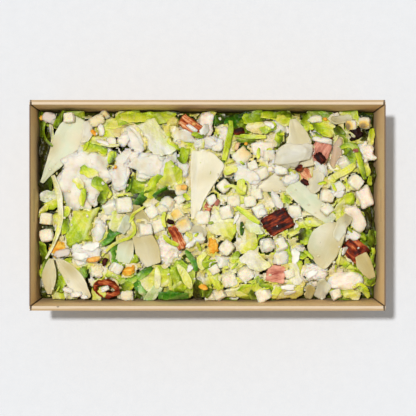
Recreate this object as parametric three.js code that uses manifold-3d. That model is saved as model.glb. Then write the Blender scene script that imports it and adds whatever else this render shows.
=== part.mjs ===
// A chicken caesar salad in its folded kraft-board tray.
// Millimetres, +X along the tray, +Y across it, +Z up; the origin is the middle of the tray's underside.
// The tray is one folded board. The lettuce is one heap: a core with chopped leaves, shreds and small
// croutons fused on. Chicken, bacon, egg, parmesan shavings and the larger croutons are pieces of their own.
import * as THREE from "three";
import { mergeVertices } from "three/addons/utils/BufferGeometryUtils.js";
import Module from "manifold-3d";

const wasm = await Module();
wasm.setup();

// ---- Driving dimensions --------------------------------------------------------------------------

const TRAY_LENGTH = 258; // outside, at the rim
const TRAY_WIDTH = 152.5;
const TRAY_HEIGHT = 80;
const TRAY_LEAN = 11; // how far each wall leans in between the rim and the base
const BOARD = 0.9; // one layer of board: the base and the end walls
const RIM_FOLD = 3.3; // the long walls fold over to this width at the rim
const CORNER_SLIT = 0.8; // the gap between an end wall and the end of a long wall's inner panel
const SLIT_BOTTOM = 30;
const RIM_EAR = 2.4; // the chamfer at each end of a folded rim
const LOCK_HEIGHT = 67; // the groove in the middle of each end wall
const LOCK_LENGTH = 24;
const LOCK_SLIT = 0.7;
const LOCK_DEPTH = 0.45;

const HEAP_EDGE = 49; // height of the heap's core along the walls
const HEAP_CROWN = 56; // and in the middle
const HEAP_BUMP = 1.2;
const NESTLE = 1; // how deep a topping sits in the core, which is cut round it
const GAP = 0.4; // clearance between neighbouring solids

const LEAF_THICK = 1.1;
const LEAF_RAISE = 0.2; // how far a fused leaf's rib stands above the core
const MOST_CROSSED = 0.2; // share of a fused piece that toppings may cut away
const SHAVING_THICK = 1.3;

// ---- Random numbers, the same every time ---------------------------------------------------------

function seeded(seed) {
  let state = seed;
  return () => {
    state = (state + 0x6d2b79f5) | 0;
    let t = Math.imul(state ^ (state >>> 15), 1 | state);
    t = (t + Math.imul(t ^ (t >>> 7), 61 | t)) ^ t;
    return ((t ^ (t >>> 14)) >>> 0) / 4294967296;
  };
}

// A function that draws evenly between two numbers.
function drawing(seed) {
  const random = seeded(seed);
  return (low, high) => low + (high - low) * random();
}

// ---- Solids and geometry -------------------------------------------------------------------------

function solidOf(geometry) {
  const bare = geometry.clone();
  bare.deleteAttribute("normal");
  bare.deleteAttribute("uv");
  const merged = mergeVertices(bare, 1e-4);
  return new wasm.Manifold(
    new wasm.Mesh({
      numProp: 3,
      vertProperties: new Float32Array(merged.attributes.position.array),
      triVerts: new Uint32Array(merged.index.array),
    }),
  );
}

function geometryOf(solid) {
  const mesh = solid.getMesh();
  const geometry = new THREE.BufferGeometry();
  geometry.setAttribute("position", new THREE.BufferAttribute(new Float32Array(mesh.vertProperties), 3));
  geometry.setIndex(new THREE.BufferAttribute(new Uint32Array(mesh.triVerts), 1));
  return geometry;
}

function largest(solid) {
  return solid.decompose().reduce((best, part) => (part.volume() > best.volume() ? part : best));
}

// Moves every corner of a geometry to where place(point) puts it.
function reshape(geometry, place) {
  const corners = geometry.attributes.position;
  const point = new THREE.Vector3();
  for (let i = 0; i < corners.count; i += 1) {
    point.fromBufferAttribute(corners, i);
    place(point);
    corners.setXYZ(i, point.x, point.y, point.z);
  }
  return geometry;
}

// A closed sheet: a grid of columns by rows, where face(u, v) gives the upper side's point and
// thickness is measured straight down. Both faces are split into triangles alike.
function sheet(columns, rows, thickness, face) {
  const points = [];
  for (const drop of [0, thickness]) {
    for (let j = 0; j <= rows; j += 1) {
      for (let i = 0; i <= columns; i += 1) {
        const point = face(i / columns, j / rows);
        points.push(point.x, point.y, point.z - drop);
      }
    }
  }
  const at = (i, j) => j * (columns + 1) + i;
  const below = (columns + 1) * (rows + 1);
  const triangles = [];
  for (let j = 0; j < rows; j += 1) {
    for (let i = 0; i < columns; i += 1) {
      const [a, b, c, d] = [at(i, j), at(i + 1, j), at(i + 1, j + 1), at(i, j + 1)];
      triangles.push(a, b, c, a, c, d);
      triangles.push(below + a, below + c, below + b, below + a, below + d, below + c);
    }
  }
  const rim = [];
  for (let i = 0; i < columns; i += 1) rim.push(at(i, 0));
  for (let j = 0; j < rows; j += 1) rim.push(at(columns, j));
  for (let i = columns; i > 0; i -= 1) rim.push(at(i, rows));
  for (let j = rows; j > 0; j -= 1) rim.push(at(0, j));
  rim.forEach((a, k) => {
    const b = rim[(k + 1) % rim.length];
    triangles.push(a, below + a, below + b, a, below + b, b);
  });
  const geometry = new THREE.BufferGeometry();
  geometry.setAttribute("position", new THREE.Float32BufferAttribute(points, 3));
  geometry.setIndex(triangles);
  return geometry;
}

// A block between two heights whose half length and half width change with height.
function tapered(halfLength, halfWidth, bottom, top) {
  return reshape(new THREE.BoxGeometry(2, 2, 1), (point) => {
    const z = point.z > 0 ? top : bottom;
    point.set(point.x * halfLength(z), point.y * halfWidth(z), z);
  });
}

// ---- The tray ------------------------------------------------------------------------------------

const lean = (z) => TRAY_LEAN * (1 - z / TRAY_HEIGHT);
const outerLength = (z) => TRAY_LENGTH / 2 - lean(z);
const outerWidth = (z) => TRAY_WIDTH / 2 - lean(z);
const innerLength = (z) => outerLength(z) - BOARD;
// The inner panel of a long wall stands RIM_FOLD from the outer one at the rim and meets it at the base.
const innerWidth = (z) => outerWidth(z) - BOARD - ((RIM_FOLD - BOARD) * z) / TRAY_HEIGHT;

function trayGeometry() {
  const above = TRAY_HEIGHT + 20;
  const cuts = [solidOf(tapered(innerLength, innerWidth, BOARD, above))];
  for (const end of [-1, 1]) {
    cuts.push(lockSlit(end));
    for (const side of [-1, 1]) {
      cuts.push(cornerSlit(end, side), rimEar(end, side));
    }
  }
  let tray = solidOf(tapered(outerLength, outerWidth, 0, TRAY_HEIGHT));
  for (const cut of cuts) tray = tray.subtract(cut);
  return geometryOf(tray);
}

// The slot that parts the long wall's inner panel from the end wall.
function cornerSlit(end, side) {
  const depth = RIM_FOLD - BOARD - 0.6;
  const slot = new THREE.BoxGeometry(1, 1, 1);
  return solidOf(
    reshape(slot, (point) => {
      const z = point.z > 0 ? TRAY_HEIGHT + 1 : SLIT_BOTTOM;
      const x = innerLength(z) - (point.x * end > 0 ? 0 : CORNER_SLIT);
      const y = innerWidth(z) + (point.y * side > 0 ? depth * (z / TRAY_HEIGHT) : -1);
      point.set(end * x, side * y, z);
    }),
  );
}

// The groove in an end wall's inner face, where the folded flap behind it locks.
function lockSlit(end) {
  return solidOf(
    reshape(new THREE.BoxGeometry(2, 2, 2), (point) => {
      const z = LOCK_HEIGHT + (point.z * LOCK_SLIT) / 2;
      const x = innerLength(z) + point.x * LOCK_DEPTH * end;
      point.set(end * x, (point.y * LOCK_LENGTH) / 2, z);
    }),
  );
}

// The wedge cut off each end of a folded rim, which leaves the rim a blunt ear.
function rimEar(end, side) {
  const ear = new THREE.Shape();
  ear.moveTo(0, 0);
  ear.lineTo(RIM_EAR * 2, 0);
  ear.lineTo(RIM_EAR * 2, RIM_EAR * 2);
  const prism = new THREE.ExtrudeGeometry(ear, { depth: 6, bevelEnabled: false, steps: 1 });
  const cornerX = end * (TRAY_LENGTH / 2 - RIM_EAR / 2);
  const cornerY = side * (TRAY_WIDTH / 2 + 0.01);
  // The prism's legs point outwards along the rim and away from the tray.
  prism.scale(end, side, 1);
  prism.translate(cornerX, cornerY - (side * RIM_EAR) / 2, TRAY_HEIGHT - 3);
  if (end * side < 0) prism.index = flipped(prism);
  return solidOf(prism);
}

// The triangles of a mirrored geometry, turned to face outwards again.
function flipped(geometry) {
  const count = geometry.attributes.position.count;
  const order = [];
  for (let i = 0; i < count; i += 3) order.push(i, i + 2, i + 1);
  return new THREE.Uint32BufferAttribute(order, 1);
}

// ---- The heap's core -----------------------------------------------------------------------------

// Height of the core's surface: a low mound with uneven bumps.
function heapHeight(x, y) {
  const acrossX = Math.min(1, Math.abs(x) / innerLength(HEAP_EDGE));
  const acrossY = Math.min(1, Math.abs(y) / innerWidth(HEAP_EDGE));
  const mound = (1 - acrossX ** 4) * (1 - acrossY ** 3);
  const bump =
    Math.sin(x / 13 + 1.7) * Math.cos(y / 11 - 0.6) + 0.6 * Math.sin((x + y) / 7.3) * Math.cos((x - y) / 9.1);
  return HEAP_EDGE + (HEAP_CROWN - HEAP_EDGE) * mound + HEAP_BUMP * bump;
}

// The room inside the tray, clear of its walls, up to well above the rim.
function roomInTray(clearance = GAP) {
  const shrink = (half) => (z) => half(z) - clearance;
  return solidOf(
    tapered(shrink(innerLength), shrink(innerWidth), BOARD + clearance, TRAY_HEIGHT + 20),
  );
}

function heapCore() {
  const reachX = TRAY_LENGTH / 2 + 5;
  const reachY = TRAY_WIDTH / 2 + 5;
  const mound = sheet(15, 9, TRAY_HEIGHT, (u, v) => {
    const x = (2 * u - 1) * reachX;
    const y = (2 * v - 1) * reachY;
    return new THREE.Vector3(x, y, heapHeight(x, y));
  });
  return solidOf(mound).intersect(roomInTray());
}

// ---- Ground: the height already filled, on a fine grid --------------------------------------------

class Ground {
  static CELL = 1;

  constructor(height) {
    this.columns = Math.ceil(TRAY_LENGTH / Ground.CELL);
    this.rows = Math.ceil(TRAY_WIDTH / Ground.CELL);
    this.top = new Float64Array(this.columns * this.rows);
    for (let j = 0; j < this.rows; j += 1) {
      for (let i = 0; i < this.columns; i += 1) {
        this.top[j * this.columns + i] = height(
          i * Ground.CELL - TRAY_LENGTH / 2,
          j * Ground.CELL - TRAY_WIDTH / 2,
        );
      }
    }
  }

  cell(x, y) {
    const i = Math.round((x + TRAY_LENGTH / 2) / Ground.CELL);
    const j = Math.round((y + TRAY_WIDTH / 2) / Ground.CELL);
    return THREE.MathUtils.clamp(j, 0, this.rows - 1) * this.columns
      + THREE.MathUtils.clamp(i, 0, this.columns - 1);
  }

  // The lowest or highest point of a geometry over each cell that it covers.
  spread(geometry, pick) {
    const found = new Map();
    const corners = geometry.attributes.position;
    const [a, b, c, point] = [0, 1, 2, 3].map(() => new THREE.Vector3());
    const index = geometry.index.array;
    for (let t = 0; t < index.length; t += 3) {
      a.fromBufferAttribute(corners, index[t]);
      b.fromBufferAttribute(corners, index[t + 1]);
      c.fromBufferAttribute(corners, index[t + 2]);
      const longest = Math.max(a.distanceTo(b), b.distanceTo(c), c.distanceTo(a));
      const steps = Math.ceil((2 * longest) / Ground.CELL);
      for (let p = 0; p <= steps; p += 1) {
        for (let q = 0; q <= steps - p; q += 1) {
          point.copy(a).multiplyScalar((steps - p - q) / steps);
          point.addScaledVector(b, p / steps).addScaledVector(c, q / steps);
          const key = this.cell(point.x, point.y);
          found.set(key, found.has(key) ? pick(found.get(key), point.z) : point.z);
        }
      }
    }
    return found;
  }

  // The highest filled point in and next to a cell.
  around(key) {
    const row = this.columns;
    const near = [0, -1, 1, -row, row, -row - 1, -row + 1, row - 1, row + 1];
    return Math.max(...near.map((step) => this.top[key + step] ?? -Infinity));
  }

  // Lowers a geometry until it rests on what is filled, then fills the space that it takes.
  settle(geometry) {
    let lift = -Infinity;
    for (const [key, low] of this.spread(geometry, Math.min)) {
      lift = Math.max(lift, this.around(key) - low);
    }
    geometry.translate(0, 0, lift + GAP);
    for (const [key, high] of this.spread(geometry, Math.max)) {
      this.top[key] = Math.max(this.top[key], high);
    }
    return lift + GAP;
  }
}

// ---- Shapes of the pieces, each about its own middle ----------------------------------------------

function indexed(geometry) {
  geometry.deleteAttribute("normal");
  geometry.deleteAttribute("uv");
  return mergeVertices(geometry, 1e-4);
}

// A block with rounded corners and an uneven surface. Corners are rounder as squareness falls to 0,
// and taper makes one end narrower than the other. grow makes the same block larger all round.
function chunk({ length, width, height, squareness, uneven, taper = 0, seed, cells }, grow = 0) {
  const draw = drawing(seed);
  const [first, second, third] = [draw(0, 6), draw(0, 6), draw(0, 6)];
  const block = reshape(new THREE.BoxGeometry(2, 2, 2, ...cells), (point) => {
    const reach = Math.max(Math.abs(point.x), Math.abs(point.y), Math.abs(point.z));
    point.multiplyScalar((reach / point.length()) ** (1 - squareness));
    const { x, y, z } = point;
    point.multiplyScalar(1 + uneven * Math.sin(2.1 * x + 1.3 * y + first));
    point.multiplyScalar(1 + uneven * Math.sin(2.6 * y - 1.7 * z + second));
    point.multiplyScalar(1 + uneven * Math.sin(3.9 * x - 2.2 * y + third));
    point.y *= 1 + taper * x;
    point.multiply(new THREE.Vector3(length / 2 + grow, width / 2 + grow, height / 2 + grow));
  });
  return indexed(block);
}

// The value at a share u of the way along a list of values at even steps.
function between(steps, u) {
  const place = u * (steps.length - 1);
  const first = Math.min(Math.floor(place), steps.length - 2);
  return THREE.MathUtils.lerp(steps[first], steps[first + 1], place - first);
}

// A thin curved flake. left and right are how far it reaches on either side of its middle line, at even
// steps along it.
function shaving({ length, left, right, bow, twist, seed }, grow = 0) {
  const draw = drawing(seed);
  const [ripple, phase] = [draw(0.2, 0.5), draw(0, 6)];
  return sheet(6, 2, SHAVING_THICK + 2 * grow, (u, v) => {
    const along = 2 * u - 1;
    const across = 2 * v - 1;
    const reach = between(across > 0 ? left : right, u);
    return new THREE.Vector3(
      along * (length / 2 + grow),
      across * (reach + grow),
      bow * (across * across - 0.4 * along * along) + twist * along * across
        + ripple * Math.sin(5 * u + phase) + SHAVING_THICK / 2 + grow,
    );
  });
}

// A short rasher curled round into an oval ring.
function curledRasher({ length, width, height, thick, seed }, grow = 0) {
  const draw = drawing(seed);
  const phase = draw(0, 6);
  const ring = new THREE.TorusGeometry(2, 1, 6, 10);
  const middleX = (length - thick) / 2;
  const middleY = (width - thick) / 2;
  return indexed(
    reshape(ring, (point) => {
      const angle = Math.atan2(point.y, point.x);
      const out = Math.hypot(point.x, point.y) - 2;
      const swell = 1 + 0.08 * Math.sin(2 * angle + phase);
      point.x = Math.cos(angle) * (middleX * swell + out * (thick / 2 + grow));
      point.y = Math.sin(angle) * (middleY * swell + out * (thick / 2 + grow));
      point.z *= height / 2 + grow;
    }),
  );
}

// A chopped leaf: ruffled along its edges and cupped along its rib.
function leaf({ length, width, cup, ruffle, seed }) {
  const draw = drawing(seed);
  const [phase, skew] = [draw(0, 6), draw(-0.2, 0.2)];
  return sheet(4, 2, LEAF_THICK, (u, v) => {
    const along = 2 * u - 1;
    const across = 2 * v - 1;
    const share = Math.sqrt(1 - 0.6 * Math.abs(along) ** 2.5);
    return new THREE.Vector3(
      (along * length) / 2,
      (across * share * width) / 2 + skew * along * width,
      cup * across * across + ruffle * Math.abs(across) * Math.sin(7 * u + phase) + LEAF_THICK / 2,
    );
  });
}

// A shred: a narrow strip that sways and arches along its length.
function shred({ length, width, arch, seed }) {
  const draw = drawing(seed);
  const [phase, sway] = [draw(0, 6), draw(0.03, 0.09)];
  return sheet(5, 1, LEAF_THICK, (u, v) => {
    const along = 2 * u - 1;
    return new THREE.Vector3(
      (along * length) / 2,
      ((2 * v - 1) * width) / 2 + sway * length * Math.sin(2.6 * along + phase),
      arch * Math.abs(Math.sin(3 * along + phase)) + LEAF_THICK / 2,
    );
  });
}

const CHICKEN_FORM = { squareness: 0.4, uneven: 0.07, cells: [3, 3, 2] };
const CHICKEN_SLICE = { squareness: 0.05, uneven: 0.05 };
const BACON_FORM = { squareness: 0.72, uneven: 0.045, cells: [3, 2, 2] };
const EGG_FORM = { squareness: 0.35, uneven: 0.06, cells: [3, 2, 2] };
const CROUTON_FORM = { squareness: 0.62, uneven: 0.02, cells: [2, 2, 2] };
const LOOSE_CROUTON_FORM = { squareness: 0.75, uneven: 0.02, cells: [1, 1, 1] };

const cubeSize = (size) => ({ length: size, width: size * 0.95, height: size * 0.86 });

const SHAPES = {
  chicken: (place, grow) => chunk({ ...CHICKEN_FORM, ...place }, grow),
  bacon: (place, grow) => {
    if (place.thick) return curledRasher(place, grow);
    return chunk({ ...BACON_FORM, ...place }, grow);
  },
  egg: (place, grow) => chunk({ ...EGG_FORM, ...place }, grow),
  parmesan: shaving,
  crouton: (place, grow) => chunk({ ...CROUTON_FORM, ...cubeSize(place.size), ...place }, grow),
  looseCrouton: (place) => chunk({ ...LOOSE_CROUTON_FORM, ...cubeSize(place.size), ...place }),
  leaf,
  shred,
};

// ---- Where the pieces lie --------------------------------------------------------------------------

// x and y are a piece's middle, and turn is in degrees from +X. Toppings settle in this order.
const TOPPINGS = {
  chicken: [
    { x: -96, y: 17.5, length: 44, width: 23, height: 9, squareness: 0.2, turn: -74 },
    { x: -78, y: 30.5, length: 18, width: 8, height: 7, turn: -50 },
    { x: -63.5, y: 21.5, length: 25, width: 12, height: 8, turn: 86 },
    { x: -40.5, y: 26, length: 26, width: 17, height: 8, turn: -6 },
    { x: -54, y: 48.5, length: 21, width: 13, height: 7, turn: -60 },
    { x: -17, y: 50, length: 20, width: 13, height: 7, turn: -25, taper: 0.25 },
    { x: -1, y: 60, length: 19, width: 11, height: 8, turn: 84, taper: 0.1 },
    { x: 11, y: 50, length: 18, width: 8, height: 6, turn: 85 },
    { x: 40, y: 41, length: 18, width: 12, height: 7, turn: -3 },
    { ...CHICKEN_SLICE, x: 94, y: 39, length: 27, width: 10, height: 5, turn: 85 },
    { x: 117, y: 39, length: 15, width: 10, height: 7, turn: -70 },
    { x: 115, y: 6, length: 18, width: 12, height: 7, turn: -70 },
    { x: 108, y: -10, length: 21, width: 12, height: 6, turn: -58 },
    { x: -79, y: -17, length: 15, width: 10, height: 8, turn: 78 },
    { x: -88, y: -35, length: 24, width: 15, height: 8, turn: 20, taper: -0.2 },
    { x: -31, y: -33, length: 21, width: 18, height: 8, turn: -40, taper: 0.2 },
    { ...CHICKEN_SLICE, x: 101, y: -55, length: 31, width: 14, height: 7, turn: 4, taper: 0.2 },
    { x: 79, y: -49, length: 19, width: 13, height: 8, turn: -12 },
  ],
  bacon: [
    { x: -12, y: 58, length: 18, width: 10, height: 6, turn: -36 },
    { x: 82, y: 38, length: 17, width: 14, height: 8, turn: 70 },
    { x: 71, y: 22, length: 16, width: 11, height: 6, turn: -50 },
    { x: 51, y: -13, length: 22, width: 17, height: 9, turn: 30 },
    { x: 108, y: -33, length: 20, width: 16, height: 9, turn: -35 },
    { x: 50, y: -50, length: 15, width: 13, height: 6, turn: -8 },
    { x: -22, y: -23, length: 19, width: 8, height: 6, turn: -63 },
    { x: -74, y: -61, length: 20, width: 15, height: 7, thick: 4.5, turn: -14 },
    { x: 1, y: 0, length: 12, width: 5, height: 4, turn: 68 },
    { x: 108, y: 52, length: 10, width: 9, height: 5, turn: 20 },
  ],
  egg: [
    { x: -110, y: -32, length: 13, width: 11, height: 5, turn: 40 },
    { x: 4, y: -30, length: 12, width: 8, height: 6, turn: -76 },
    { x: -57, y: -48, length: 11, width: 7, height: 6, turn: 20 },
  ],
  parmesan: [
    {
      x: -60, y: -33, turn: 78, length: 18, bow: 1, twist: 0.3,
      left: [4, 6, 6.5, 4], right: [5, 6.5, 6, 4.5],
    },
    {
      x: -44, y: -32, turn: -70, length: 25, bow: 1, twist: 0.4,
      left: [6, 8, 9, 8, 6], right: [7, 8, 9, 7, 5],
    },
    {
      x: 47, y: 18, turn: -5, length: 23, bow: 0.8, twist: 0.3,
      left: [7, 8.5, 8, 7.5], right: [8, 8.5, 8, 7],
    },
    {
      x: 76, y: 2, turn: -41, length: 42, bow: 1.2, twist: 0.6,
      left: [5, 7, 7, 6, 4], right: [6, 7, 7.5, 6, 4],
    },
    {
      x: 65, y: 45, turn: -80, length: 36, bow: 1.3, twist: -0.5,
      left: [2, 6, 9, 11, 8.5, 9.5, 10], right: [2, 4, 5, 9, 13.5, 12, 7],
    },
    {
      x: 88.5, y: -29, turn: 71, length: 35, bow: 1.5, twist: 0.6,
      left: [2, 11, 15, 15.5, 15, 11, 4], right: [3, 6, 8, 9, 9, 8.5, 6],
    },
    {
      x: 117, y: -44.5, turn: -66, length: 20, bow: 0.7, twist: 0.4,
      left: [4, 4.5, 4, 2.5], right: [5, 7, 5.5, 2],
    },
    {
      x: -109, y: 41, turn: 63, length: 55, bow: 0.8, twist: 0.4,
      left: [1, 2.5, 4, 6, 7.5, 7, 2], right: [1.5, 4.5, 8.5, 11.5, 15, 16.5, 11],
    },
    {
      x: -8.5, y: 13, turn: 86, length: 54, bow: 1.2, twist: 0.6,
      left: [1.5, 2.5, 3, 3.5, 4.5, 5, 5], right: [1.5, 4, 7, 11.5, 17, 20.5, 10],
    },
    {
      x: -98, y: -54, turn: -50, length: 37, bow: 1, twist: 0.3,
      left: [1, 4.5, 6.5, 7, 6.5, 4, 2], right: [1.5, 4, 5, 6.5, 7, 6, 1.5],
    },
    {
      x: -115, y: -52, turn: 87, length: 26, bow: 0.8, twist: 0.6,
      left: [1.5, 4.5, 6, 5, 1.5], right: [1.5, 4, 5, 4, 1.5],
    },
  ],
  crouton: [
    { x: -101, y: 64, size: 8, turn: 4 },
    { x: -118, y: -10, size: 9.5, turn: -6 },
    { x: -118, y: -22, size: 10, turn: 10 },
    { x: -41, y: -5, size: 10, turn: 38 },
    { x: -22, y: -7, size: 9, turn: 35 },
    { x: 12, y: 14, size: 9, turn: 42 },
    { x: 19, y: 3, size: 9.5, turn: 4 },
    { x: 31, y: 3, size: 9, turn: 12 },
    { x: 108, y: 17, size: 10.5, turn: -40 },
    { x: 87, y: 7, size: 10, turn: -8 },
    { x: 14, y: -31, size: 10, turn: 48 },
    { x: 16, y: -54, size: 11, turn: 15 },
    { x: 28, y: -50, size: 11, turn: 35 },
    { x: 43, y: -29, size: 10, turn: 8 },
    { x: -81, y: -48, size: 9.5, turn: 4 },
  ],
};

// Pieces of the heap that show, fused to its core.
const FUSED = {
  leaf: [
    { x: -92, y: -17, length: 30, width: 22, cup: 2.5, ruffle: 1.2, turn: 78 },
    { x: -34, y: 47, length: 33, width: 17, cup: 2.5, ruffle: 1, turn: -55 },
    { x: -27, y: 20, length: 19, width: 16, cup: 2, ruffle: 1.6, turn: 75 },
    { x: -38, y: 13, length: 18, width: 12, cup: 2, ruffle: 1, turn: -70 },
    { x: -36, y: -56, length: 21, width: 17, cup: 3, ruffle: 1.4, turn: 80 },
    { x: -15, y: -55, length: 28, width: 20, cup: 3, ruffle: 1.5, turn: -50 },
    { x: 87, y: 56, length: 17, width: 12, cup: 2, ruffle: 1, turn: -50 },
    { x: 104, y: -43, length: 20, width: 10, cup: 2, ruffle: 1.2, turn: -30 },
    { x: 59, y: -61, length: 23, width: 16, cup: 2.5, ruffle: 1.2, turn: -10 },
    { x: 65, y: -50, length: 20, width: 13, cup: 1.5, ruffle: 0.8, turn: -58 },
    { x: -66, y: 57, length: 27, width: 20, cup: 2.5, ruffle: 1.5, turn: -20 },
    { x: -42, y: 65, length: 38, width: 9, cup: 2, ruffle: 1.5, turn: -2 },
    { x: 35, y: 60, length: 21, width: 18, cup: 3, ruffle: 1.6, turn: -50 },
    { x: 16, y: 64, length: 22, width: 11, cup: 2.5, ruffle: 1.2, turn: 15 },
    { x: 103, y: 38, length: 16, width: 10, cup: 2, ruffle: 1.2, turn: 70 },
    { x: 10, y: -16, length: 20, width: 18, cup: 1.5, ruffle: 1, turn: -35 },
    { x: 98, y: -14, length: 24, width: 12, cup: 2, ruffle: 0.8, turn: 65 },
    { x: 76, y: -13, length: 28, width: 8, cup: 2, ruffle: 1, turn: -12 },
    { x: -60, y: -62, length: 20, width: 12, cup: 2, ruffle: 1, turn: 45 },
    { x: -72, y: -41, length: 20, width: 12, cup: 2, ruffle: 1, turn: -25 },
    { x: -120, y: 10, length: 20, width: 9, cup: 2, ruffle: 1, turn: 80 },
    { x: 117, y: -20, length: 22, width: 9, cup: 2, ruffle: 1, turn: 85 },
    { x: -10, y: -30, length: 24, width: 14, cup: 2, ruffle: 1.2, turn: 60 },
    { x: 60, y: -30, length: 18, width: 10, cup: 2, ruffle: 1.2, turn: 60 },
    { x: -68, y: 5, length: 18, width: 12, cup: 2, ruffle: 1.2, turn: 30 },
    { x: 110, y: 62, length: 22, width: 10, cup: 2, ruffle: 1, turn: 5 },
    { x: 66, y: 66, length: 24, width: 9, cup: 2, ruffle: 1, turn: -8 },
  ],
  shred: [
    { x: -110, y: -8, length: 54, width: 4.5, arch: 3, turn: -92 },
    { x: 15, y: 47, length: 30, width: 4, arch: 3, turn: 84 },
    { x: 37, y: 51, length: 35, width: 4, arch: 3, turn: 3 },
    { x: 110, y: 33, length: 28, width: 4.5, arch: 3, turn: -75 },
    { x: 99, y: 23, length: 20, width: 6, arch: 3, turn: 39 },
    { x: -5, y: -42, length: 26, width: 5, arch: 3, turn: 85 },
    { x: 29, y: -8, length: 25, width: 5, arch: 2.5, turn: -30 },
    { x: 27, y: -62, length: 26, width: 6, arch: 2, turn: 15 },
    { x: -24, y: -66, length: 24, width: 6, arch: 2, turn: -2 },
    { x: -66, y: -28, length: 30, width: 4, arch: 3, turn: 38 },
    { x: 62, y: -18, length: 22, width: 4, arch: 2, turn: 40 },
  ],
  looseCrouton: [
    { x: -29, y: 1, size: 8, turn: 60 },
    { x: -34, y: -14, size: 9, turn: 25 },
    { x: -45, y: -19, size: 8.5, turn: 8 },
    { x: -57, y: -66, size: 9, turn: 20 },
    { x: -2, y: -9, size: 9, turn: -5 },
    { x: 37, y: -6, size: 8.5, turn: 30 },
    { x: 65, y: -4, size: 10, turn: 8 },
    { x: 94, y: 10, size: 9, turn: 30 },
    { x: 64, y: 20, size: 10, turn: -20 },
    { x: 10, y: -42, size: 10, turn: 5 },
    { x: 54, y: -30, size: 10, turn: 25 },
    { x: 52, y: -38, size: 9, turn: 5 },
    { x: 43, y: -64, size: 10.5, turn: 35 },
    { x: 8, y: -65, size: 9, turn: 10 },
    { x: 24, y: 36, size: 12, turn: 50 },
    { x: 35, y: 30, size: 10, turn: 15 },
    { x: 33, y: 19, size: 11, turn: 10 },
    { x: 46, y: 29, size: 10, turn: 5 },
    { x: 54, y: 56, size: 10, turn: -30 },
    { x: 79, y: 53, size: 9, turn: 60 },
    { x: -70, y: -2, size: 10, turn: 20 },
    { x: -60, y: 1, size: 10, turn: 5 },
    { x: -28, y: 62, size: 8, turn: 15 },
    { x: 96, y: 66, size: 8, turn: 10 },
    { x: 105, y: 60, size: 8, turn: 40 },
    { x: -113, y: 62, size: 8, turn: 25 },
    { x: 68, y: -31, size: 9, turn: 15 },
    { x: 22, y: -22, size: 8, turn: 65 },
  ],
};

// Lays a piece along the mound's slope with a tilt of its own, then turns and places it.
function layOnHeap(geometry, { x, y, turn, seed }) {
  const draw = drawing(seed + 1);
  const step = 6;
  const slopeX = (heapHeight(x + step, y) - heapHeight(x - step, y)) / (2 * step);
  const slopeY = (heapHeight(x, y + step) - heapHeight(x, y - step)) / (2 * step);
  const tilt = new THREE.Euler(slopeY + draw(-0.08, 0.08), -slopeX + draw(-0.08, 0.08), 0);
  geometry.applyMatrix4(new THREE.Matrix4().makeRotationZ(THREE.MathUtils.degToRad(turn)));
  geometry.applyMatrix4(new THREE.Matrix4().makeRotationFromEuler(tilt));
  return geometry.translate(x, y, TRAY_HEIGHT);
}

// How far a piece has to move aside to stay clear of the tray's walls.
function awayFromWalls(geometry) {
  geometry.computeBoundingBox();
  const { min, max } = geometry.boundingBox;
  const lowest = HEAP_EDGE - 2 * NESTLE;
  const shift = (low, high, reach) => Math.max(0, -reach - low) + Math.min(0, reach - high);
  return {
    x: shift(min.x, max.x, innerLength(lowest) - 2 * GAP),
    y: shift(min.y, max.y, innerWidth(lowest) - 2 * GAP),
  };
}

// Every topping as { name, kind, geometry, cut }, where cut is the same piece grown by the gap.
function layToppings() {
  const ground = new Ground((x, y) => heapHeight(x, y) - NESTLE);
  const laid = [];
  for (const [kind, places] of Object.entries(TOPPINGS)) {
    places.forEach((place, i) => {
      const piece = { ...place, seed: 100 * laid.length + 7 };
      const geometry = layOnHeap(SHAPES[kind](piece, 0), piece);
      const cut = layOnHeap(SHAPES[kind](piece, GAP), piece);
      const aside = awayFromWalls(geometry);
      geometry.translate(aside.x, aside.y, 0);
      cut.translate(aside.x, aside.y, ground.settle(geometry));
      laid.push({ name: `${kind}_${String(i + 1).padStart(2, "0")}`, kind, geometry, cut });
    });
  }
  return laid;
}

// ---- The heap with what is fused to it --------------------------------------------------------------

// Leaves scattered between the placed ones: one in each cell of a grid, moved by a seeded draw.
function scatteredLeaves(columns, rows) {
  const draw = drawing(41);
  const reachX = innerLength(HEAP_EDGE) - 7;
  const reachY = innerWidth(HEAP_EDGE) - 7;
  const leaves = [];
  for (let j = 0; j < rows; j += 1) {
    for (let i = 0; i < columns; i += 1) {
      const u = (i + draw(0.15, 0.85)) / columns;
      const v = (j + draw(0.15, 0.85)) / rows;
      const size = { length: draw(14, 24), width: draw(8, 14), cup: draw(2, 3.5), ruffle: draw(0.8, 1.6) };
      leaves.push({ x: (2 * u - 1) * reachX, y: (2 * v - 1) * reachY, turn: draw(0, 360), ...size });
    }
  }
  return leaves;
}

// Every fused piece as a solid, set into the core at its middle so that its edges stand clear.
function fusedSolids() {
  const solids = [];
  const everything = { ...FUSED, leaf: [...FUSED.leaf, ...scatteredLeaves(5, 3)] };
  for (const [kind, places] of Object.entries(everything)) {
    places.forEach((place) => {
      const piece = { ...place, seed: 50 * solids.length + 3 };
      const raise = kind === "looseCrouton" ? place.size * 0.25 : LEAF_THICK / 2 + LEAF_RAISE;
      const geometry = layOnHeap(SHAPES[kind](piece), piece);
      geometry.translate(0, 0, heapHeight(place.x, place.y) - TRAY_HEIGHT + raise);
      solids.push(solidOf(geometry));
    });
  }
  return solids;
}

// The core with what is fused on. A piece that the toppings would mostly cut away is left out.
function heapGeometry(laid) {
  const taken = wasm.Manifold.union(laid.map(({ cut }) => solidOf(cut)));
  let heap = heapCore();
  for (const solid of fusedSolids()) {
    const crossed = solid.intersect(taken).volume() / solid.volume();
    if (crossed < MOST_CROSSED) heap = heap.add(solid);
  }
  return geometryOf(largest(heap.intersect(roomInTray()).subtract(taken)));
}

// ---- The object --------------------------------------------------------------------------------------

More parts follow.
